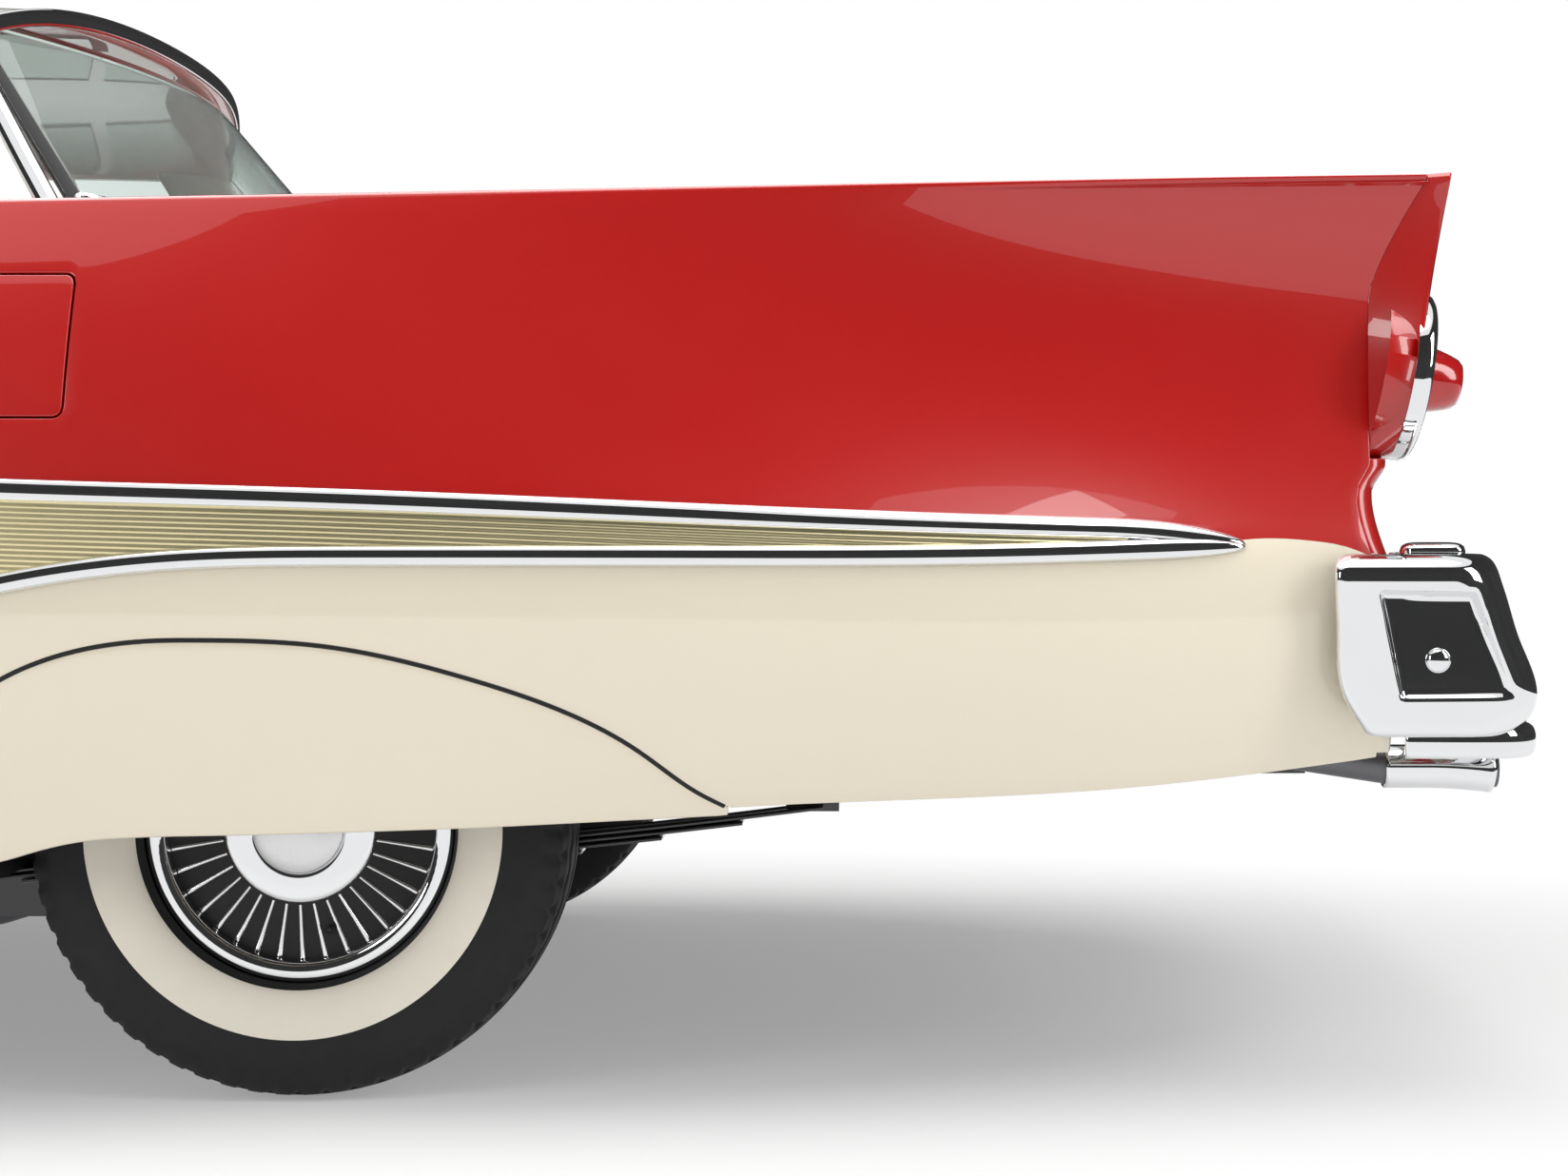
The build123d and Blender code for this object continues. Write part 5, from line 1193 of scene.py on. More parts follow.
def tyre_rows():
    """Radius and distance out along the whole section, with close rows on the tread."""
    fine = smooth_curve(np.linspace(0, 1, len(SIDE)), SIDE)(np.linspace(0, 1, 20))
    tread_y = np.linspace(72, -72, 42) * MM
    crown = TYRE_R - 9 * MM * (np.abs(tread_y) / (75 * MM)) ** 2.6
    tread = np.stack([crown, tread_y], -1)
    inner = fine[::-1] * [1, -1]
    return np.vstack([fine, tread, inner])


def tyre_shape(centre, out, turns=240):
    """Tread and side walls: radius less the groove's depth, turned about the axle."""
    rows = tyre_rows()
    angle = np.linspace(0, 2 * np.pi, turns, endpoint=False)[:, None]
    radius, far = rows[:, 0] + 0 * angle, rows[:, 1] + 0 * angle
    zig = 5 * MM * (2 / np.pi) * np.arcsin(np.sin(angle * 48))
    on_tread = np.abs(far) < 73 * MM
    for groove in GROOVE_YS:
        radius = radius - 7 * MM * (on_tread & (np.abs(far - groove - zig) < 3.4 * MM))
    cut = np.mod(angle * 60 / (2 * np.pi) + 0.12 * np.sign(far), 1.0) < 0.26
    shoulder = (np.abs(far) > 55 * MM) & (radius > 312 * MM)
    radius = radius - 5.5 * MM * (shoulder & cut)
    points = np.stack([radius * np.cos(angle), out * far, radius * np.sin(angle)], -1) + centre
    faces = grid_quads(turns, len(rows), True, False)
    mean_r, mean_y = (rows[:-1, 0] + rows[1:, 0]) / 2, (rows[:-1, 1] + rows[1:, 1]) / 2
    white = (mean_y > 0) & (mean_r > 199 * MM) & (mean_r < 258 * MM)
    return points.reshape(-1, 3), faces if out > 0 else faces[:, ::-1], np.tile(white.astype(int), turns)


# %% [markdown]
# ## Wheel covers on the hubs
# The cover is pressed bright metal: an outer ring, a dark recess crossed by thin bright ribs, a flat
# silver ring and a spun cone. The ribs are bars along the radius, copied round by turning whole arrays.

# %% Hub cover shapes
RING = MM * np.array(
    [
        [193, 40], [193, 57], [190, 62], [185, 64.5], [178, 65.5], [171, 64], [166.5, 60], [165, 52],
        [165, 45]
    ]
)
RECESS = MM * np.array([[166, 47], [160, 46], [130, 50], [100, 56], [94, 58]])
SILVER = MM * np.array([[95, 52], [94, 60], [91.5, 63.5], [86, 65], [72, 66], [60, 67], [57.5, 66.4]])
CONE = MM * np.array([[57.5, 66.5], [56.5, 70], [54, 72.5], [40, 77], [20, 81.5], [8, 83.6], [0, 84]])
RIM_BACK = MM * np.array([[199, 60], [197, 52], [193, 40], [188, 20], [182, -40], [186, -60], [197, -72]])
RIBS = 36


def rib_bars(centre, out):
    """Bars from the silver ring to the outer ring: each is a half-round section that narrows inwards."""
    along = np.linspace(0, 1, 9)
    radius = (96 + 68 * along) * MM
    rise = np.interp(radius, RECESS[::-1, 0], RECESS[::-1, 1])
    around = np.linspace(0, np.pi, 6)
    width = (2.1 + 1.5 * along) * MM
    tall = (4.0 * np.sin(np.pi * np.clip(along, 0.06, 0.97)) ** 0.25) * MM
    local = np.stack([
        radius[:, None] + 0 * around, width[:, None] * np.cos(around),
        rise[:, None] - MM + tall[:, None] * np.sin(around),
    ], -1)
    turn = 2 * np.pi * np.arange(RIBS) / RIBS
    c, s = np.cos(turn)[:, None, None], np.sin(turn)[:, None, None]
    x = local[..., 0] * c - local[..., 1] * s
    z = local[..., 0] * s + local[..., 1] * c
    points = np.stack([x, out * (local[..., 2] + 0 * c), z], -1) + centre
    one = grid_quads(9, 6)
    faces = (one[None] + 54 * np.arange(RIBS)[:, None, None]).reshape(-1, 4)
    return points.reshape(-1, 3), faces[:, ::-1] if out > 0 else faces


# %% Wheels and tyres on their bodies
for corner, joint in (
    (f"{end}_{side}", f"wheel_{end}_{side}_spin") for end in ("front", "rear") for side in ("left", "right")
):
    hub, out = place[joint], -1.0 if corner.endswith("left") else 1.0
    body, axle = f"wheel_{corner}", (0, out, 0)
    tyre_points, tyre_faces, white = tyre_shape(hub, out)
    make_piece(
        f"tyre_{corner}_dressed", tyre_points, tyre_faces, body, [TYRE_BLACK, TYRE_WHITE], white,
        [f"tyre_{corner}"], "tyre"
    )
    cover = join(lathe(RING, hub, axle, 120), lathe(SILVER, hub, axle, 96), rib_bars(hub, out))
    make_piece(f"hub_cover_{corner}", *cover, body, [CHROME], None, [f"wheel_{corner}"], "aluminium")
    make_piece(f"hub_cone_{corner}", *lathe(CONE, hub, axle, 96), body, [SPUN], None, (), "aluminium")
    dark = join(lathe(RECESS, hub, axle, 96), lathe(RIM_BACK, hub, axle, 96))
    make_piece(f"hub_recess_{corner}", *dark, body, [SEAL], None, (), "black_paint")
    valve_turn = np.radians(-74)
    valve_at = hub + MM * np.array([131 * np.cos(valve_turn), 0, 131 * np.sin(valve_turn)])
    valve_at = valve_at + np.array([0, out * 49 * MM, 0])
    valve = lathe(
        MM * np.array([[9, -4], [9, 1.5], [7.5, 2.5], [6, 1], [4, 1], [3.6, 9], [2.5, 10], [0, 10]]),
        valve_at, axle, 24
    )
    make_piece(f"valve_{corner}", *valve, body, [SEAL], None, (), "black_paint")
print("wheels done", len(tyre_faces), "faces a tyre")

# %% [markdown]
# ## Hood, cowl, shelf and deck lid
# The lids lie between the inner edges of the body's shoulders. Across the car each is a low parabola,
# along the car its crown runs on a spline. The sides follow the shoulders at an even gap, so the lid can
# lift without touching them.

# %% Crowned lids
def shoulder(x):
    """Half width and height of the inner edge of the body's top face at x."""
    column = section_at(x)
    return HALF - column[:, 9] - TOP_WALL, column[:, 8] - column[:, 10]


def lid_grid(x, crown, gap, across=41, ease=None):
    """y = share * half width, z = edge + (crown - edge) * (1 - share squared), over columns x."""
    share = np.linspace(-1, 1, across)
    wide, edge = shoulder(x)
    wide = wide - gap
    z = edge[:, None] + (crown(x) - edge)[:, None] * (1 - share**2)
    if ease is not None:
        z = z + ease(x[:, None], share[None])
    return np.stack([x[:, None] + 0 * z, wide[:, None] * share, z], -1)


def make_lid(name, grid, depth, body, node_name, roll=3 * MM):
    points, faces, _ = rolled_panel(
        grid.reshape(-1, 3), grid_quads(*grid.shape[:2])[:, ::-1], depth, roll, 5
    )
    make_piece(name, points, faces, body, [RED], None, [node_name], "red_paint")


LID_GAP = 9 * MM
hood_crown = smooth_curve(FRONT + MM * np.array([-690, 0, 749]), MM * np.array([966, 1064, 1083]))
deck_crown = smooth_curve(
    REAR + MM * np.array([32, 500, 1000, 1340]), MM * np.array([1105, 1109, 1097, 1084])
)


def hood_relief(x, share):
    """Two low ridges along the hood: narrow bell curves across the car."""
    along = np.clip((FRONT + 700 * MM - x) / (400 * MM), 0, 1) * np.clip(
        (x - FRONT + 660 * MM) / (300 * MM), 0, 1
    )
    return 2.2 * MM * along * (np.exp(-(((np.abs(share) - 0.5) / 0.05) ** 2)))


hood_x = np.linspace(FRONT - 687 * MM, FRONT + 745 * MM, 60)
make_lid("hood_skin", lid_grid(hood_x, hood_crown, LID_GAP, 69, hood_relief), 16 * MM, "hood", "hood")
deck_x = np.linspace(REAR + 36 * MM, REAR + 1336 * MM, 64)
make_lid("deck_skin", lid_grid(deck_x, deck_crown, LID_GAP, 49), 16 * MM, "deck_lid", "deck_lid")
cowl_crown = smooth_curve(FRONT + MM * np.array([757, 950, 1141]), MM * np.array([1084, 1087, 1089]))
cowl_x = np.linspace(FRONT + 759 * MM, FRONT + 1139 * MM, 16)
make_lid("cowl_skin", lid_grid(cowl_x, cowl_crown, 2 * MM), 14 * MM, "body", "cowl")
shelf_crown = smooth_curve(REAR + MM * np.array([-430, 0, 24]), MM * np.array([1096, 1103, 1103]))
shelf_x = np.linspace(REAR - 428 * MM, REAR + 24 * MM, 18)
make_lid("shelf_skin", lid_grid(shelf_x, shelf_crown, 4 * MM), 12 * MM, "body", "back_shelf")
print("lids done")

# %% [markdown]
# ## Roof and pillars
# The roof is a shell that is trimmed in plan: its front and rear edges are parabolas between which the
# columns are spread. Two leaning pillars carry it at the back, each a rounded oblong that narrows as it
# rises. Under the rear edge runs a thick bright lip.

# %% Roof shell
# Behind the front axle: x, half width, height of the edge and of the crown.
ROOF = MM * np.array([
    [1340, 655, 1340, 1398], [1640, 680, 1350, 1418], [2000, 690, 1356, 1426], [2340, 682, 1352, 1426],
    [2669, 656, 1342, 1420],
])
roof_at = smooth_curve(ROOF[:, 0] + FRONT, ROOF[:, 1:])


def roof_edge(share, middle, side):
    """x of the front or rear edge: a parabola from the middle to the sides."""
    return middle + (side - middle) * share**2


def roof_point(x, share):
    """y = share * half width, z falls by the power 4.4 of the share, from the crown to the edge."""
    wide, edge, crown = roof_at(x.ravel()).T.reshape(3, *x.shape)
    return np.stack([x, wide * share, edge + (crown - edge) * (1 - np.abs(share) ** 4.4)], -1)


roof_share = np.sin(np.linspace(-np.pi / 2, np.pi / 2, 61))
front_x = roof_edge(roof_share, FRONT + 1348 * MM, FRONT + 1408 * MM)
rear_x = roof_edge(roof_share, REAR - 345 * MM, REAR - 462 * MM)
roof_x = front_x[:, None] + (rear_x - front_x)[:, None] * np.linspace(0, 1, 44)
roof_top = roof_point(roof_x, roof_share[:, None] + 0 * roof_x)
points, faces, _ = rolled_panel(
    roof_top.reshape(-1, 3), grid_quads(*roof_top.shape[:2])[:, ::-1], 22 * MM, 5 * MM, 6
)
roof_shape = points, faces

# Pillar ends: height, front and rear x behind the rear axle, outer and inner distance from the middle.
PILLAR = MM * np.array(
    [
        [1078, -465, -285, 838, 778], [1160, -500, -342, 790, 735], [1260, -548, -410, 734, 684],
        [1345, -592, -472, 692, 642]
    ]
)
pillar_at = smooth_curve(PILLAR[:, 0], PILLAR[:, 1:])
pillar_z = np.linspace(1078, 1345, 26) * MM
fore, aft, outer, inner = pillar_at(pillar_z).T
oblong = oval(1.0, 1.0, 40, 5.0)
pillar_points = np.stack([
    REAR + (fore + aft)[:, None] / 2 + oblong[:, 0] * (aft - fore)[:, None],
    -(outer + inner)[:, None] / 2 + oblong[:, 1] * (outer - inner)[:, None],
    pillar_z[:, None] + 0 * oblong[:, 0],
], -1)
cap_low, cap_high = pillar_points[:1].mean(1, keepdims=True), pillar_points[-1:].mean(1, keepdims=True)
pillar_points = np.concatenate([np.repeat(cap_low, 40, 1), pillar_points, np.repeat(cap_high, 40, 1)])
pillar = pillar_points.reshape(-1, 3), grid_quads(28, 40, False, True)[:, ::-1]
make_piece(
    "roof_skin", *join(roof_shape, both_sides(*pillar)), "body", [ROOF_WHITE], None, ["roof"], "white_paint"
)
print("roof", roof_top.shape)

# %% [markdown]
# ## Curved glass
# The windshield wraps round at its ends and the rear window bows back. Each level of a pane is a
# parabola in plan, and the levels lie on straight lines from the foot to the top.

# %% Panes
def bowed(foot, top, across, levels, pull=0.0, shift=0.0):
    """Points of a pane: x = middle + (end - middle) * share squared, with ends drawn in by pull."""
    rise = np.linspace(*levels, 18)[:, None]
    t = (rise - foot[0]) / (top[0] - foot[0])
    end_x, end_y, mid_x = (f + t * (g - f) for f, g in zip(foot[1:], top[1:]))
    share = across * (1 - pull / end_y)
    return np.stack([mid_x + (end_x - mid_x) * share**2 + shift, end_y * share, rise + 0 * share], -1)


SHIELD_FOOT = MM * np.array([1040, FRONT / MM + 1120, 775, FRONT / MM + 880])
SHIELD_TOP = MM * np.array([1372, FRONT / MM + 1440, 640, FRONT / MM + 1372])
BACK_FOOT = MM * np.array([1075, REAR / MM - 266, 806, REAR / MM - 88])
BACK_TOP = MM * np.array([1385, REAR / MM - 492, 640, REAR / MM - 350])
pane_share = np.linspace(-1, 1, 49)[None]


def make_pane(name, grid, node_name, thick=5 * MM):
    points_, faces_, _ = rolled_panel(grid.reshape(-1, 3), grid_quads(*grid.shape[:2]), thick, 1 * MM, 2)
    make_piece(name, points_, faces_, "body", [GLASS], None, [node_name], "tinted_glass")


shield = bowed(SHIELD_FOOT, SHIELD_TOP, pane_share, (1109 * MM, 1344 * MM), 37 * MM, 12 * MM)
make_pane("windshield_pane", shield, "windshield")
backlight = bowed(BACK_FOOT, BACK_TOP, pane_share, (1097 * MM, 1368 * MM), 4 * MM, 6 * MM)
make_pane("rear_pane", backlight[:, ::-1], "rear_window")
for name in ("door_glass_left", "door_glass_right", "quarter_glass"):
    node[name].data.materials.clear()
    node[name].data.materials.append(GLASS)
print("panes done")

# %% [markdown]
# ## Bright frames round the glass
# Plated beads follow the edges of the panes and the roof: each is a small oval carried along the row of
# points that the surface already has there.

# %% Glass frames and roof lip
frame_shapes = [
    bead(backlight[0] + [8 * MM, 0, 10 * MM], 20 * MM, 18 * MM),
    bead(roof_top[:, -1] + [7 * MM, 0, -11 * MM], 10 * MM, 24 * MM),
    bead(roof_top[:, 0] + [-2 * MM, 0, -10 * MM], 10 * MM, 18 * MM),
]
pillar_strip = np.stack([REAR + aft + 4 * MM, -outer + 6 * MM, pillar_z], -1)
belt_x = np.linspace(REAR - 680 * MM, REAR - 470 * MM, 20)
wide, edge = shoulder(belt_x)
quarter_belt = np.stack([belt_x, -wide - 38 * MM, edge + 20 * MM], -1)
rail_points = roof_top[0, 3:-3] + [0, -3 * MM, -4 * MM]
sides = join(
    bead(pillar_strip, 20 * MM, 26 * MM, np.tile([1.0, 0, 0], (26, 1))),
    bead(rail_points, 14 * MM, 16 * MM),
    bead(quarter_belt, 12 * MM, 14 * MM),
)
make_piece("glass_frames", *join(*frame_shapes, both_sides(*sides)), "body", [CHROME], None, (), "chrome")
foot_line = bowed(SHIELD_FOOT, SHIELD_TOP, pane_share, (1104 * MM, 1346 * MM), 18 * MM, 14 * MM)
shield_frame = join(
    bead(foot_line[0], 34 * MM, 22 * MM), bead(foot_line[-1], 34 * MM, 20 * MM),
    both_sides(*bead(foot_line[:, 0] + [0, 2 * MM, 0], 34 * MM, 36 * MM, np.tile([1.0, 0, 0], (18, 1)))),
)
make_piece("shield_frame", *shield_frame, "body", [CHROME], None, ["windshield_frame"], "chrome")
print("bright frames done")

# %% [markdown]
# ## Front end
# The nose isn't in the picture, so it is drawn as cars of this kind and year have it: a round lamp in a
# hooded pod at each corner, a wide grille of thin bars between them, and a full-width plated bumper.

# %% Headlamp pods
POD_CENTRE = np.array([FRONT - 790 * MM, -762 * MM, 770 * MM])
POD = MM * np.array([
    [120, 260], [121, 160], [121, 100], [120, 50], [119, 20], [116, 6], [110, 0.5], [104, -1], [100, 3],
    [98, 12], [96, 30], [92, 38],
])
HEAD_RING = MM * np.array(
    [[106, 6], [107, -2], [104, -7], [99, -8], [95, -4], [93.5, 4], [93, 16], [92, 26]]
)
HEAD_LENS = MM * np.array(
    [[93, 22], [91, 12], [84, 6], [70, 1], [50, -3], [28, -5.6], [10, -6.6], [0, -6.8]]
)
BOWL = MM * np.array([[91, 26], [70, 34], [40, 38], [0, 39]])
forward = (1, 0, 0)
pod = lathe(POD, POD_CENTRE, forward, 96)
make_piece("lamp_pods", *both_sides(pod[0], pod[1][:, ::-1]), "body", [RED], None, (), "red_paint")
ring_shape = lathe(HEAD_RING, POD_CENTRE, forward, 96)
make_piece(
    "headlamp_rings", *both_sides(ring_shape[0], ring_shape[1][:, ::-1]), "body", [CHROME], None, (),
    "chrome"
)
lens_shape = lathe(HEAD_LENS, POD_CENTRE, forward, 96)
make_piece(
    "headlamp_lenses", *both_sides(lens_shape[0], lens_shape[1][:, ::-1]), "body", [CLEAR], None,
    ["headlamps"], "lamp_glass"
)
bowl_shape = lathe(BOWL, POD_CENTRE, forward, 64)
make_piece(
    "headlamp_bowls", *both_sides(bowl_shape[0], bowl_shape[1][:, ::-1]), "body", [ALUMINIUM], None, (),
    "aluminium"
)
print("headlamps done")

# %% Front bumper
NOSE = FRONT - 852 * MM
bumper_share = np.linspace(-1, 1, 110)
reach = 958 * MM
wrap = np.clip((np.abs(bumper_share) - 0.86) / 0.14, 0, 1)
bumper_y = reach * np.sign(bumper_share) * (np.minimum(np.abs(bumper_share), 0.86) / 0.86) * 0.985
bumper_y = bumper_y + np.sign(bumper_share) * 14 * MM * np.sin(wrap * np.pi / 2)
bumper_x = NOSE + 26 * MM + 196 * MM * np.minimum(np.abs(bumper_share) / 0.86, 1) ** 2.6 + 160 * MM * wrap
bumper_path = np.stack([bumper_x, bumper_y, np.full(110, 475 * MM)], -1)
ahead = unit(np.gradient(bumper_path, axis=0))
level = np.cross(ahead, [0, 0, 1.0])
turn = np.linspace(-1, 1, 34)
front_face = np.stack(
    [22 * MM * np.cos(turn * 1.25) ** 0.7 - 4 * MM * np.exp(-((turn / 0.16) ** 2)), 75 * MM * turn], -1
)
back_face = np.stack([np.full(12, -6 * MM), 72 * MM * np.linspace(1, -1, 12)], -1)
bumper_section = np.vstack([front_face, back_face])
bumper = carried_profile(bumper_path, level, np.tile([0, 0, 1.0], (110, 1)), bumper_section)
make_piece("front_bumper_bar", *bumper, "body", [CHROME], None, ["front_bumper"], "chrome")
print("front bumper", len(bumper[1]))

# %% Nose panel and grille
nose_y = np.linspace(-752, 752, 60) * MM
nose_share = (nose_y / (752 * MM))[:, None]
lip_top = 931 * MM + 30 * MM * (1 - nose_share**2)
lip_z = 801 * MM + (lip_top - 801 * MM) * np.linspace(0, 1, 16)
lip_x = FENDER_FRONT - 4 * MM - 34 * MM * np.sin(np.pi * np.linspace(0.12, 0.95, 16)) * (1 - nose_share**4)
lip = np.stack([lip_x, nose_y[:, None] + 0 * lip_z, lip_z], -1)
points, faces, _ = rolled_panel(lip.reshape(-1, 3), grid_quads(60, 16)[:, ::-1], 10 * MM, 3 * MM)
# Each fender's front end is closed by a sheet that reaches from the grille to the skin.
cap_z = np.linspace(562 * MM, 938 * MM, 30)
cap_out = skin(np.full(30, FENDER_FRONT), cap_z)[:, 1] + 5 * MM
cap_share = np.linspace(0, 1, 24)[:, None]
cap_y = cap_out + (-598 * MM - cap_out) * cap_share
end_cap = np.stack([np.full((24, 30), FENDER_FRONT - 1.5 * MM), cap_y, cap_z + 0 * cap_y], -1)
cap_points, cap_faces, cap_mats = rolled_panel(
    end_cap.reshape(-1, 3), grid_quads(24, 30)[:, ::-1], 8 * MM, 3 * MM,
    face_mats=np.tile((cap_z[:-1] < 818 * MM).astype(int), 23),
)
end_caps = both_sides(cap_points, cap_faces)
apron_z = 385 * MM + (560 * MM - 385 * MM) * np.linspace(0, 1, 8)
apron_y = np.linspace(-790, 790, 60) * MM
apron = np.stack([
    FENDER_FRONT + 4 * MM + 0 * apron_y[:, None] + 0 * apron_z,
    apron_y[:, None] + 0 * apron_z,
    apron_z + 0 * apron_y[:, None],
], -1)
low_points, low_faces, _ = rolled_panel(apron.reshape(-1, 3), grid_quads(60, 8)[:, ::-1], 10 * MM, 3 * MM)
nose_shapes = join((points, faces), (low_points, low_faces), end_caps)
finish = np.concatenate([np.zeros(len(faces), int), np.ones(len(low_faces), int), cap_mats, cap_mats])
make_piece("nose_panels", *nose_shapes, "body", [RED, CREAM], finish, ["front_panel"], "red_paint")


def straight_bar(a, b, width, height, up):
    """An oval bar between two points."""
    path = np.asarray(a) + (np.asarray(b) - np.asarray(a)) * np.linspace(0, 1, 4)[:, None]
    ahead_ = unit(np.gradient(path, axis=0))
    lift = np.tile(np.asarray(up, float), (4, 1))
    return carried_profile(path, np.cross(ahead_, lift), lift, oval(width, height, 16, 3.0))


GRILLE_X, GRILLE_HALF = FENDER_FRONT - 2 * MM, 586 * MM
bars = [
    straight_bar((GRILLE_X, -GRILLE_HALF, z), (GRILLE_X, GRILLE_HALF, z), 14 * MM, 9 * MM, (0, 0, 1))
    for z in np.linspace(592, 768, 5) * MM
]
bars += [
    straight_bar(
        (GRILLE_X + 8 * MM, y, 566 * MM), (GRILLE_X + 8 * MM, y, 794 * MM), 10 * MM, 7 * MM, (0, 1, 0)
    )
    for y in np.linspace(-560, 560, 33) * MM
]
bars += [
    straight_bar((GRILLE_X, -GRILLE_HALF, z), (GRILLE_X, GRILLE_HALF, z), 30 * MM, 22 * MM, (0, 0, 1))
    for z in (568 * MM, 792 * MM)
]
bars += [
    straight_bar((GRILLE_X, y, 562 * MM), (GRILLE_X, y, 798 * MM), 30 * MM, 22 * MM, (0, 1, 0))
    for y in (-GRILLE_HALF, GRILLE_HALF)
]
make_piece("grille_bars", *join(*bars), "body", [ALUMINIUM], None, ["grille"], "aluminium")
print("grille", len(bars), "bars")

# %% [markdown]
# ## Under the car
# The frame, floor, axle and engine keep their solids and only take finishes. The springs are stacks of
# steel leaves, each shorter than the one above and bent to the same curve, held by clips. The tail pipes
# end in plated sleeves that turn down a little.

# %% Finishes of the solids that stay
KEPT = {
    "chassis_frame": BLACK_PAINT, "floor_pan": UNDERSIDE, "engine": IRON, "exhaust": STEEL,
    "rear_axle": BLACK_PAINT, "knuckle_left": STEEL, "knuckle_right": STEEL,
}
for name, finish in KEPT.items():
    node[name].data.materials.clear()
    node[name].data.materials.append(finish)

# %% Leaf springs
LEAVES = 5
SPRING_KNOTS = MM * np.array([[-640, 228], [-320, 272], [0, 288], [320, 308], [640, 344]])
spring_line = smooth_curve(SPRING_KNOTS[:, 0], SPRING_KNOTS[:, 1])
leaf_shapes = []
for leaf in range(LEAVES):
    reach_back, reach_fore = (640 - 105 * leaf) * MM, (640 - 120 * leaf) * MM
    along = np.linspace(-reach_fore, reach_back, 30)
    path = np.stack(
        [REAR + along, np.full(30, -580 * MM), spring_line(along) - 7.4 * MM * leaf - 3 * MM], -1
    )
    ahead = unit(np.gradient(path, axis=0))
    side = np.tile([0, 1.0, 0], (30, 1))
    leaf_shapes.append(
        carried_profile(path, side, np.cross(ahead, side) * -1, oval(58 * MM, 6.6 * MM, 20, 6.0))
    )
for x in (-250, -60, 60, 250):
    low = spring_line(np.array([x * MM]))[0] - 15 * MM
    clip_path = np.stack(
        [np.full(6, REAR + x * MM), np.full(6, -580 * MM), low + np.linspace(-20, 20, 6) * MM], -1
    )
    leaf_shapes.append(carried_profile(
        clip_path, np.tile([1.0, 0, 0], (6, 1)), np.tile([0, 1.0, 0], (6, 1)), oval(22 * MM, 60 * MM, 20, 8.0)
    ))
make_piece(
    "spring_leaves", *both_sides(*join(*leaf_shapes)), "body", [BLACK_PAINT], None, ["leaf_springs"],
    "black_paint"
)
print("springs", LEAVES, "leaves")

# %% Tail pipe sleeves
sleeve_x = np.linspace(REAR + 1340 * MM, REAR + 1476 * MM, 26)
drop = 6 * MM * np.clip((sleeve_x - REAR - 1390 * MM) / (86 * MM), 0, 1) ** 2
sleeve_path = np.stack([sleeve_x, np.full(26, -750 * MM), 408 * MM - drop], -1)
ahead = unit(np.gradient(sleeve_path, axis=0))
side = np.tile([0, 1.0, 0], (26, 1))
lift = np.cross(ahead, side)
turn = np.linspace(0, 2 * np.pi, 48, endpoint=False)
outer_ring = np.stack([np.cos(turn), np.sin(turn)], -1)
outside = sleeve_path[:, None] + 27 * MM * (
    outer_ring[:, :1] * side[:, None] + outer_ring[:, 1:] * lift[:, None]
)
inside = sleeve_path[:, None] + 24.6 * MM * (
    outer_ring[:, :1] * side[:, None] + outer_ring[:, 1:] * lift[:, None]
)
sleeve = np.concatenate([outside, inside[::-1]])
sleeves = both_sides(*outwards(sleeve.reshape(-1, 3), grid_quads(52, 48, True, True)))
make_piece("tail_pipe_sleeves", *sleeves, "body", [CHROME], None, (), "chrome")
print("tail pipe sleeves done")

# %% [markdown]
# ## Seats
# Bench seats of this time are thick rolls of padding under sewn covers. Each pad starts as a block with
# rounded edges, a little too small. A cloth simulation blows its cover up, so that the faces crown and
# the edges pull in. The sewn channels come last: the cover sinks by a narrow bell curve on each seam.


# %% Padded seats
def swollen(obj, voxel=22 * MM, frames=20, most=24 * MM):
    """Even quads, then cloth under pressure; no point may move further than the limit."""
    even = obj.modifiers.new("even", "REMESH")
    even.mode, even.voxel_size = "VOXEL", voxel
    mesh = bpy.data.meshes.new_from_object(obj.evaluated_get(bpy.context.evaluated_depsgraph_get()))
    obj.modifiers.clear()
    obj.data = mesh
    start = np.empty(len(mesh.vertices) * 3)
    mesh.vertices.foreach_get("co", start)
    cover = obj.modifiers.new("cover", "CLOTH")
    cover.settings.use_pressure, cover.settings.uniform_pressure_force = True, 4.0
    cover.settings.effector_weights.gravity = 0.0
    cover.point_cache.frame_end = frames
    for step in range(1, frames + 1):
        bpy.context.scene.frame_set(step)
    blown = bpy.data.meshes.new_from_object(obj.evaluated_get(bpy.context.evaluated_depsgraph_get()))
    end = np.empty(len(blown.vertices) * 3)
    blown.vertices.foreach_get("co", end)
    move = (end - start).reshape(-1, 3)
    far = np.linalg.norm(move, axis=1, keepdims=True)
    move *= np.minimum(1, most / np.maximum(far, 1e-9))
    obj.modifiers.clear()
    mesh.vertices.foreach_set("co", (start.reshape(-1, 3) + move).ravel())
    bpy.context.scene.frame_set(1)
    finer = obj.modifiers.new("finer", "SUBSURF")
    finer.levels = finer.render_levels = 1
    obj.data = bpy.data.meshes.new_from_object(obj.evaluated_get(bpy.context.evaluated_depsgraph_get()))
    obj.modifiers.clear()


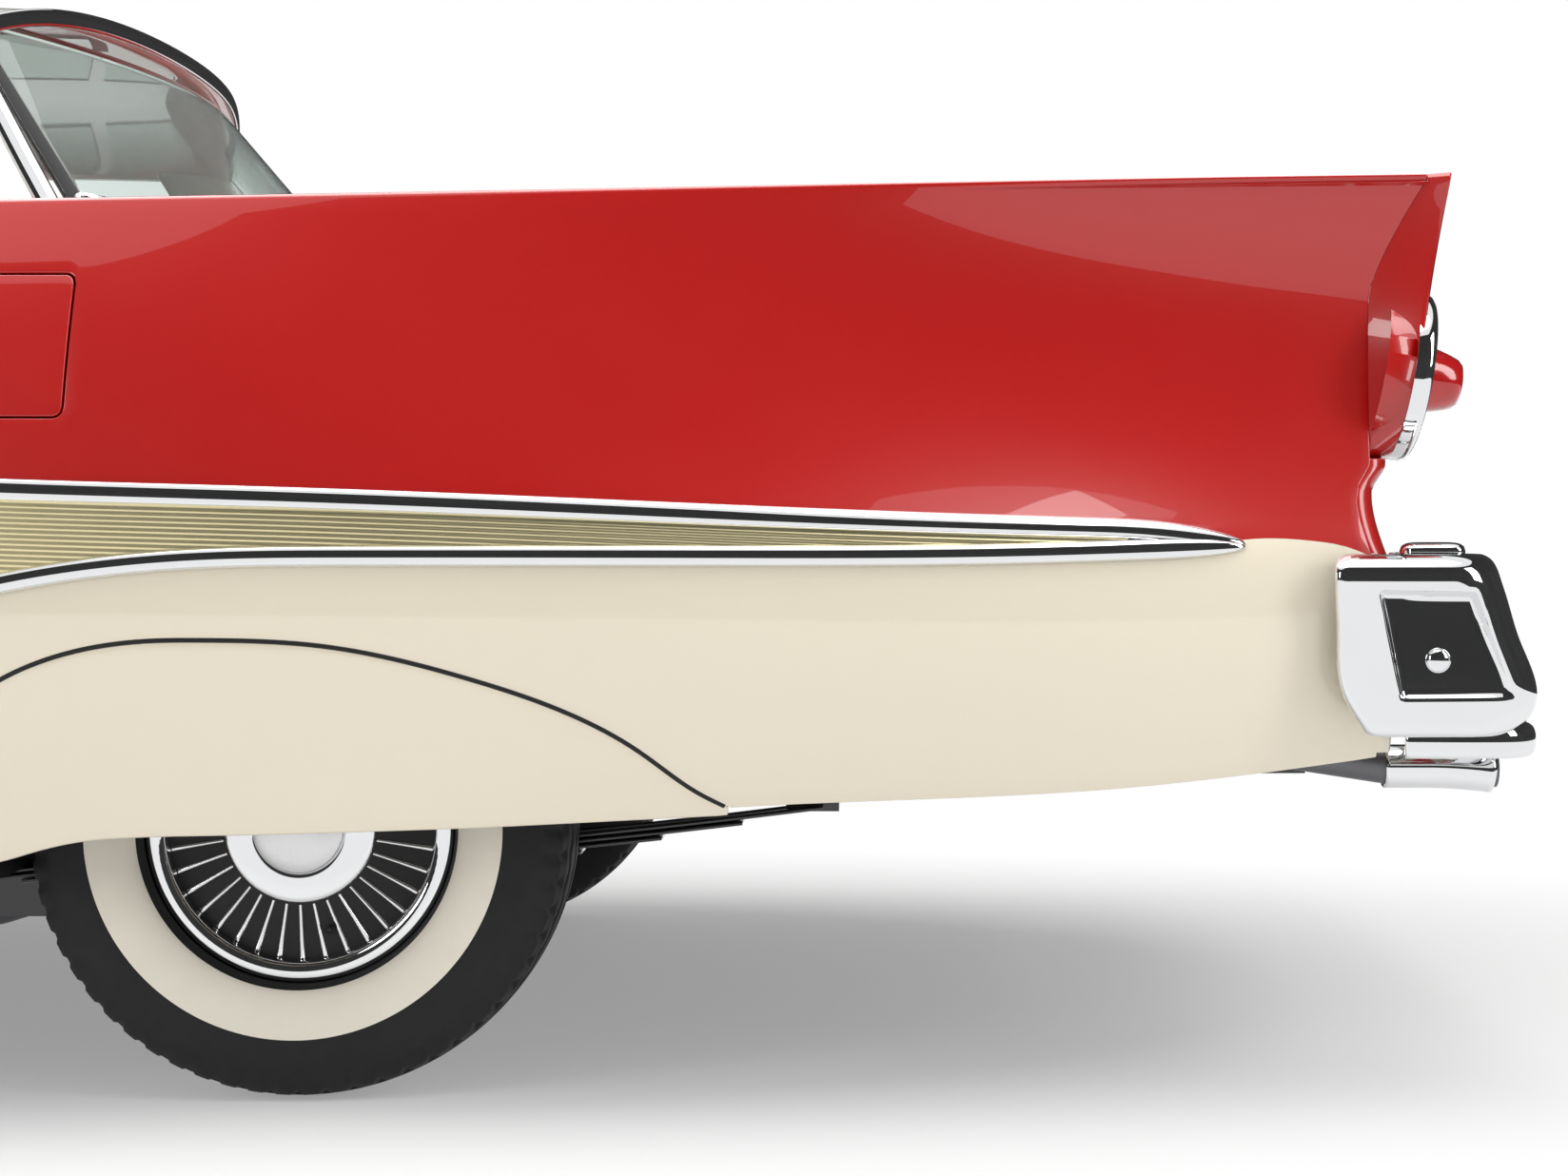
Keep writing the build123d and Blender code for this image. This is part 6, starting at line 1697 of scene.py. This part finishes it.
def pad(name, size, where, lean, channels, finish, stands_for):
    """A superellipsoid |a|^p + |b|^p + |c|^p = 1, swollen, sewn across and turned about the car's y axis."""
    count, soft, spare = 36, 0.3, 16 * MM
    up, turn_ = np.meshgrid(
        np.linspace(-np.pi / 2, np.pi / 2, count), np.linspace(0, 2 * np.pi, 4 * count, endpoint=False)
    )
    wave = (np.cos(up), np.cos(turn_), np.sin(turn_), np.sin(up))
    flat, east, north, high = (np.sign(w) * np.abs(w) ** soft for w in wave)
    ball = np.stack([flat * east, flat * north, high], -1).reshape(-1, 3)
    mesh = bpy.data.meshes.new(name)
    points_ = ball * (np.array(size) / 2 - spare)
    mesh.from_pydata(points_.tolist(), [], grid_quads(4 * count, count, True).tolist())
    obj = bpy.data.objects.new(name, mesh)
    bpy.context.scene.collection.objects.link(obj)
    swollen(obj)
    co = np.empty(len(obj.data.vertices) * 3)
    obj.data.vertices.foreach_get("co", co)
    co = co.reshape(-1, 3)
    pitch = size[1] / channels
    near = np.abs(np.mod(co[:, 1] + pitch / 2, pitch) - pitch / 2)
    facing = np.clip(co[:, 2] / (size[2] / 5), 0, 1)
    inside = smooth_step((size[0] * 0.40 - np.abs(co[:, 0])) / (12 * MM))
    co[:, 2] -= 10 * MM * np.exp(-((near / (11 * MM)) ** 2)) * facing * inside
    band = np.abs(np.abs(co[:, 0]) - size[0] * 0.41)
    co[:, 2] -= 8 * MM * np.exp(-((band / (10 * MM)) ** 2)) * facing
    c, s = np.cos(lean), np.sin(lean)
    placed = np.stack([co[:, 0] * c + co[:, 2] * s, co[:, 1], co[:, 2] * c - co[:, 0] * s], -1) + where
    over_tunnel = np.maximum(placed[:, 2], 406 * MM)
    placed[:, 2] = np.where(np.abs(placed[:, 1]) < 178 * MM, over_tunnel, placed[:, 2])
    obj.data.vertices.foreach_set("co", placed.ravel())
    obj.data.materials.append(finish)
    obj.data.polygons.foreach_set("use_smooth", np.ones(len(obj.data.polygons), bool))
    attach(obj, "body")
    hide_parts(stands_for)
    print(name, len(obj.data.polygons), "faces")


# Each pad: length, width and thickness, its middle, its lean and its channels.
PADS = {
    "front_cushion": ((0.50, 1.36, 0.19), (FRONT + 1.705, 0, 0.413), 0.05, 11, RED_HIDE, "front_seat"),
    "front_backrest": ((0.49, 1.36, 0.115), (FRONT + 1.974, 0, 0.640), -1.41, 11, WHITE_HIDE, "front_seat"),
    "rear_cushion": ((0.44, 1.34, 0.19), (REAR - 0.708, 0, 0.408), 0.04, 11, RED_HIDE, "rear_seat"),
    "rear_backrest": ((0.47, 1.34, 0.115), (REAR - 0.490, 0, 0.645), -1.36, 11, WHITE_HIDE, "rear_seat"),
}
for name, (size, where, lean, channels, finish, stands_for) in PADS.items():
    pad(name, size, np.array(where), lean, channels, finish, stands_for)

# %% [markdown]
# ## Dashboard, steering wheel and trim
# The dashboard is one profile carried across the car, with a hooded dial ahead of the wheel. The wheel's
# rim is a bar bent to a circle, rippled for the fingers. Door and quarter trims are rounded pads with a
# plated strip between the two colours. Carpet covers the floor and its tunnel.

# %% Seat bases, carpet and quarter trims
def block(x0, x1, y0, y1, z0, z1, power=14.0):
    """A box with rounded edges: a superellipse across the car, carried along x and drawn in at its ends."""
    t = np.linspace(-1, 1, 24)
    size_ = (1 - np.abs(t) ** 20)[:, None, None] * 0.03 + 0.97
    path = np.stack(
        [x0 + (x1 - x0) * (t + 1) / 2, np.full(24, (y0 + y1) / 2), np.full(24, (z0 + z1) / 2)], -1
    )
    across, up = np.tile([0, 1.0, 0], (24, 1)), np.tile([0, 0, 1.0], (24, 1))
    return carried_profile(path, across, up, oval(y1 - y0, z1 - z0, 48, power) * size_)


bases = [both_sides(*block(FRONT + 1.50, FRONT + 1.94, -0.66, -0.19, 0.272, 0.33))]
bases.append(both_sides(*block(REAR - 0.92, REAR - 0.42, -0.66, -0.19, 0.272, 0.33)))
make_piece("seat_bases", *join(*bases), "body", [SEAL], None, (), "trim")
quarter_trim = block(DOOR_REAR + 20 * MM, REAR - 415 * MM, -0.826, -0.715, 0.29, 1.055)
make_piece("quarter_trims", *both_sides(*quarter_trim), "body", [RED_HIDE], None, (), "trim")

carpet_x = np.linspace(FRONT + 0.83, REAR - 0.41, 12)
carpet_y = spread(
    (-0.84, -0.18, 30), (-0.18, -0.164, 6), (-0.164, 0.164, 20), (0.164, 0.18, 6), (0.18, 0.84, 30)
)
tunnel_rise = smooth_step((0.178 - np.abs(carpet_y)) / (10 * MM)) * 130 * MM
carpet = np.stack(np.broadcast_arrays(carpet_x[:, None], carpet_y[None], 275 * MM + tunnel_rise[None]), -1)
points, faces, _ = rolled_panel(carpet.reshape(-1, 3), grid_quads(*carpet.shape[:2]), 4 * MM, 1.5 * MM, 2)
make_piece("carpet", points, faces, "body", [CARPET], None, (), "trim")
print("cabin floor done")

# %% Dashboard and column
DASH = MM * np.array([
    [1004, 990], [1040, 999], [1100, 1000], [1150, 996], [1178, 986], [1189, 968], [1187, 940], [1178, 905],
    [1168, 880], [1146, 836], [1122, 796], [1108, 770], [1090, 764], [1050, 766], [1008, 776],
])
dash_path = np.stack([np.full(60, FRONT), np.linspace(-738, 738, 60) * MM, np.zeros(60)], -1)
dash = carried_profile(dash_path, np.tile([1.0, 0, 0], (60, 1)), np.tile([0, 0, 1.0], (60, 1)), DASH[::-1])
HUB_AT = place["steering_wheel_turn"]
COLUMN_TILT = np.radians(28)
COLUMN_DIR = np.array([np.cos(COLUMN_TILT), 0, np.sin(COLUMN_TILT)])
COLUMN = MM * np.array(
    [[0, -520], [27, -520], [28, -300], [29, -120], [30, -60], [30, -34], [11, -33], [11, 14], [0, 14]]
)
column = lathe(COLUMN, HUB_AT, COLUMN_DIR, 48)
make_piece("dash_panel", *join(dash, column), "body", [RED_HIDE], None, ["dashboard"], "dash")
DIAL = MM * np.array([[124, -26], [124, 0], [121, 4], [115, 4], [113, -3], [60, -4], [0, -4]])
dial_at = np.array([FRONT + 1188 * MM, HUB_AT[1], 938 * MM])
dial = lathe(DIAL, dial_at, (1, 0, 0), 72)
dial[0][:, 2] = dial_at[2] + (dial[0][:, 2] - dial_at[2]) * 0.4
strip_path = np.stack(
    [np.full(40, FRONT + 1176 * MM), np.linspace(-730, 730, 40) * MM, np.full(40, 896 * MM)], -1
)
make_piece(
    "dash_bright", *join(dial, bead(strip_path, 12 * MM, 22 * MM)), "body", [CHROME], None, (), "chrome"
)
print("dashboard done")


# %% Steering wheel
def hoop(centre, axis, radius, bar, ripple=0.0, turns=180):
    """A bar of radius b bent round a circle of radius R; the ripple waves b on the far side."""
    axis = unit(np.array(axis, float))
    east = np.array([0, 1.0, 0])
    north = np.cross(axis, east)
    turn_ = np.linspace(0, 2 * np.pi, turns, endpoint=False)[:, None]
    around_ = np.linspace(0, 2 * np.pi, 20, endpoint=False)[None]
    thick = bar * (1 - ripple * np.clip(-np.sin(around_), 0, 1) * (1 + np.cos(60 * turn_)) / 2)
    reach = (radius + thick * np.cos(around_))[..., None]
    points_ = centre + reach * (np.cos(turn_)[..., None] * east + np.sin(turn_)[..., None] * north)
    points_ = points_ + (thick * np.sin(around_))[..., None] * axis
    return points_.reshape(-1, 3), grid_quads(turns, 20, True, True)


spokes = []
for spoke in (np.radians(8), np.radians(172), np.radians(270)):
    way = np.cos(spoke) * np.array([0, 1.0, 0]) + np.sin(spoke) * np.cross(COLUMN_DIR, [0, 1.0, 0])
    path = HUB_AT + way * np.linspace(28 * MM, 202 * MM, 20)[:, None]
    across = np.tile(np.cross(COLUMN_DIR, way), (20, 1))
    spokes.append(carried_profile(path, across, np.tile(COLUMN_DIR, (20, 1)), oval(18 * MM, 9 * MM, 20)))
rim = hoop(HUB_AT, COLUMN_DIR, 205 * MM, 10.8 * MM, 0.12)
make_piece(
    "steering_rim", *join(rim, *spokes), "steering_wheel", [CREAM_PLASTIC], None, ["steering_wheel"],
    "wheel_rim"
)
HUB = MM * np.array([[12.5, -22], [33, -22], [35, -8], [35, 8], [32, 16], [22, 20], [10, 21], [0, 21]])
hub = lathe(HUB, HUB_AT, COLUMN_DIR, 60)
horn = hoop(HUB_AT + COLUMN_DIR * 5 * MM, COLUMN_DIR, 112 * MM, 4 * MM, 0.0, 90)
make_piece("steering_bright", *join(hub, horn), "steering_wheel", [CHROME], None, (), "chrome")
print("steering wheel done")


# %% Door trims
def trim_sheet(x, low, high, inset, crown):
    """The door's skin moved in by the wall, crowned: 1 - u^6 along and 1 - w^6 up the sheet."""
    z = np.linspace(low, high, 22)
    xs, zs = np.broadcast_arrays(x[:, None], z[None])
    along, up = np.linspace(-1, 1, len(x))[:, None] ** 6, np.linspace(-1, 1, 22)[None] ** 6
    depth = inset + crown * (1 - along) * (1 - up)
    return skin(xs, zs) - skin_normal(xs, zs) * depth[..., None]


DOOR_WALL = 47 * MM
trim_x = np.linspace(DOOR_FRONT + 90 * MM, DOOR_REAR - 70 * MM, 60)
for side in ("left", "right"):
    for level, low, high, finish in (("low", 0.36, 0.66, RED_HIDE), ("high", 0.675, 1.0, WHITE_HIDE)):
        sheet = trim_sheet(trim_x, low, high, DOOR_WALL + 3 * MM, 7 * MM)
        points, faces, _ = rolled_panel(
            sheet.reshape(-1, 3), grid_quads(*sheet.shape[:2])[:, ::-1], 3 * MM, 1.5 * MM, 3
        )
        if side == "right":
            points, faces = mirrored(points, faces)
        make_piece(f"door_trim_{level}_{side}", points, faces, f"door_{side}", [finish], None, (), "trim")
    strip_z = np.full(60, 0.6675)
    strip = bead(
        skin(trim_x, strip_z) - skin_normal(trim_x, strip_z) * (DOOR_WALL + 5 * MM), 10 * MM, 14 * MM
    )
    strip = mirrored(*strip) if side == "right" else strip
    make_piece(f"door_trim_strip_{side}", *strip, f"door_{side}", [CHROME], None, (), "chrome")
print("door trims done")

# %% [markdown]
# ## Studio
# The car stands on a pale floor in an even white room. One wide soft box hangs overhead and makes the
# bright line along the fin; two tall ones beside the camera put long soft edges into the paint and the
# chrome. The room is white where the camera, a reflection or a pane looks at it, and dimmer as a lamp.


# %% Floor, room, lamps and camera
def seen(value):
    """1 for rays from the camera, a reflection or a pane, and 0 for rays that carry light."""
    path = value.tree.nodes.new("ShaderNodeLightPath")
    rays = [
        Value(value.tree, path.outputs[f"Is {kind} Ray"]) for kind in ("Camera", "Glossy", "Transmission")
    ]
    return (rays[0] + rays[1] + rays[2]).math("MINIMUM", 1.0)


# Inside an ellipse round the car the floor's white glow drops to a smaller share. The car's real shadow shows
# there, and the weaker glow also paints a soft shade round and under the car.
FLOOR_SIZE, GLOW_IN_SHADE, SHADE_REACH = 30.0, 0.30, (3.3, 1.35)
spot = np.array([[-1, -1, 0], [1, -1, 0], [1, 1, 0], [-1, 1, 0]]) * FLOOR_SIZE - [0, 0, 0.0005]
floor_mesh = bpy.data.meshes.new("floor")
floor_mesh.from_pydata(spot.tolist(), [], [[0, 1, 2, 3]])
floor = bpy.data.objects.new("floor", floor_mesh)
bpy.context.scene.collection.objects.link(floor)
floor_mat, floor_shader, here = new_material("studio_floor", Roughness=0.6, Specular_IOR_Level=0.2)
feed(floor_shader, "Base Color", here.noise(0.8).tint((0.86, 0.86, 0.86), (0.88, 0.88, 0.88)))
glow = here.make("ShaderNodeEmission", {"Color": (1, 1, 1, 1), "Strength": 1.0})
off_x, off_y = here.axis("X") * (1 / SHADE_REACH[0]), here.axis("Y") * (1 / SHADE_REACH[1])
shade_fade = ((off_x * off_x + off_y * off_y).math("SQRT") - 0.75).make_clamped(1.6)
share = seen(here) * (shade_fade * (1.0 - GLOW_IN_SHADE) + GLOW_IN_SHADE)
mixed = here.make("ShaderNodeMixShader", {0: share, 1: Value(here.tree, floor_shader.outputs[0]), 2: glow})
here.tree.links.new(mixed.socket, here.tree.nodes["Material Output"].inputs["Surface"])
floor_mesh.materials.append(floor_mat)

# A dark curtain stands round the studio, seen by reflections alone, so the paint keeps its depth.
WALL_R, WALL_TOP = 9.0, 9.5
wall_turn = np.linspace(0, 2 * np.pi, 64, endpoint=False)[:, None]
wall_z = np.array([[0.0, WALL_TOP]])
ring = np.stack(
    [
        WALL_R * np.cos(wall_turn) + 0 * wall_z, WALL_R * np.sin(wall_turn) + 0 * wall_z,
        wall_z + 0 * wall_turn
    ],
    -1
)
wall_mesh = bpy.data.meshes.new("studio_wall")
wall_mesh.from_pydata(ring.reshape(-1, 3).tolist(), [], grid_quads(64, 2, True).tolist())
curtain = bpy.data.objects.new("studio_wall", wall_mesh)
bpy.context.scene.collection.objects.link(curtain)
for rays in ("camera", "diffuse", "shadow", "transmission"):
    setattr(curtain, f"visible_{rays}", False)
wall_mat, wall_shader, here = new_material("curtain", Roughness=1.0, Specular_IOR_Level=0.0)
feed(wall_shader, "Base Color", here.noise(0.6).tint((0.05, 0.05, 0.05), (0.09, 0.09, 0.09)))
wall_mesh.materials.append(wall_mat)

ROOM_LIGHT = 0.5
world = bpy.data.worlds.new("white_room")
world.use_nodes = True
bpy.context.scene.world = world
sky = Value(world.node_tree, None)
level = seen(sky) * (1.0 - ROOM_LIGHT) + ROOM_LIGHT
world.node_tree.links.new(level.socket, world.node_tree.nodes["Background"].inputs["Strength"])
world.node_tree.nodes["Background"].inputs["Color"].default_value = (1, 1, 1, 1)

# Each lamp: place, aim, width, height and power.
LAMPS = {
    "overhead": ((1.2, -0.6, 3.6), (1.4, -0.3, 0.6), 5.5, 2.2, 150.0),
    "front_left": ((-2.6, -4.6, 2.2), (0.6, -0.8, 0.7), 1.2, 2.6, 60.0),
    "rear_right": ((5.4, -2.6, 2.4), (2.2, -0.6, 0.7), 1.2, 2.6, 60.0),
}
for name, (where, aim, width, height, power) in LAMPS.items():
    lamp = bpy.data.lights.new(name, "AREA")
    lamp.shape, lamp.size, lamp.size_y, lamp.energy = "RECTANGLE", width, height, power
    holder = bpy.data.objects.new(name, lamp)
    bpy.context.scene.collection.objects.link(holder)
    holder.location = where
    toward = unit(np.array(aim) - np.array(where))
    holder.rotation_mode = "QUATERNION"
    holder.rotation_quaternion = Vector(toward.tolist()).to_track_quat("-Z", "Y")

FOCAL_PX, FRAME_PX, SENSOR = 2700.0, 1648.0, 36.0
STRAIGHT_AHEAD_PX = np.array([116.0, 58.0])
EYE = np.array([1905.0, -3944.0, 698.0]) * MM
camera_data = bpy.data.cameras.new("camera")
camera_data.sensor_width = SENSOR
camera_data.lens = FOCAL_PX / FRAME_PX * SENSOR
camera_data.shift_x, camera_data.shift_y = (-STRAIGHT_AHEAD_PX / FRAME_PX).tolist()
camera = bpy.data.objects.new("camera", camera_data)
camera.location = EYE.tolist()
camera.rotation_euler = (np.pi / 2, 0, 0)
bpy.context.scene.collection.objects.link(camera)
bpy.context.scene.camera = camera
bpy.context.scene.view_settings.view_transform = "Standard"
print("studio ready, lens", round(camera_data.lens, 2), "mm")
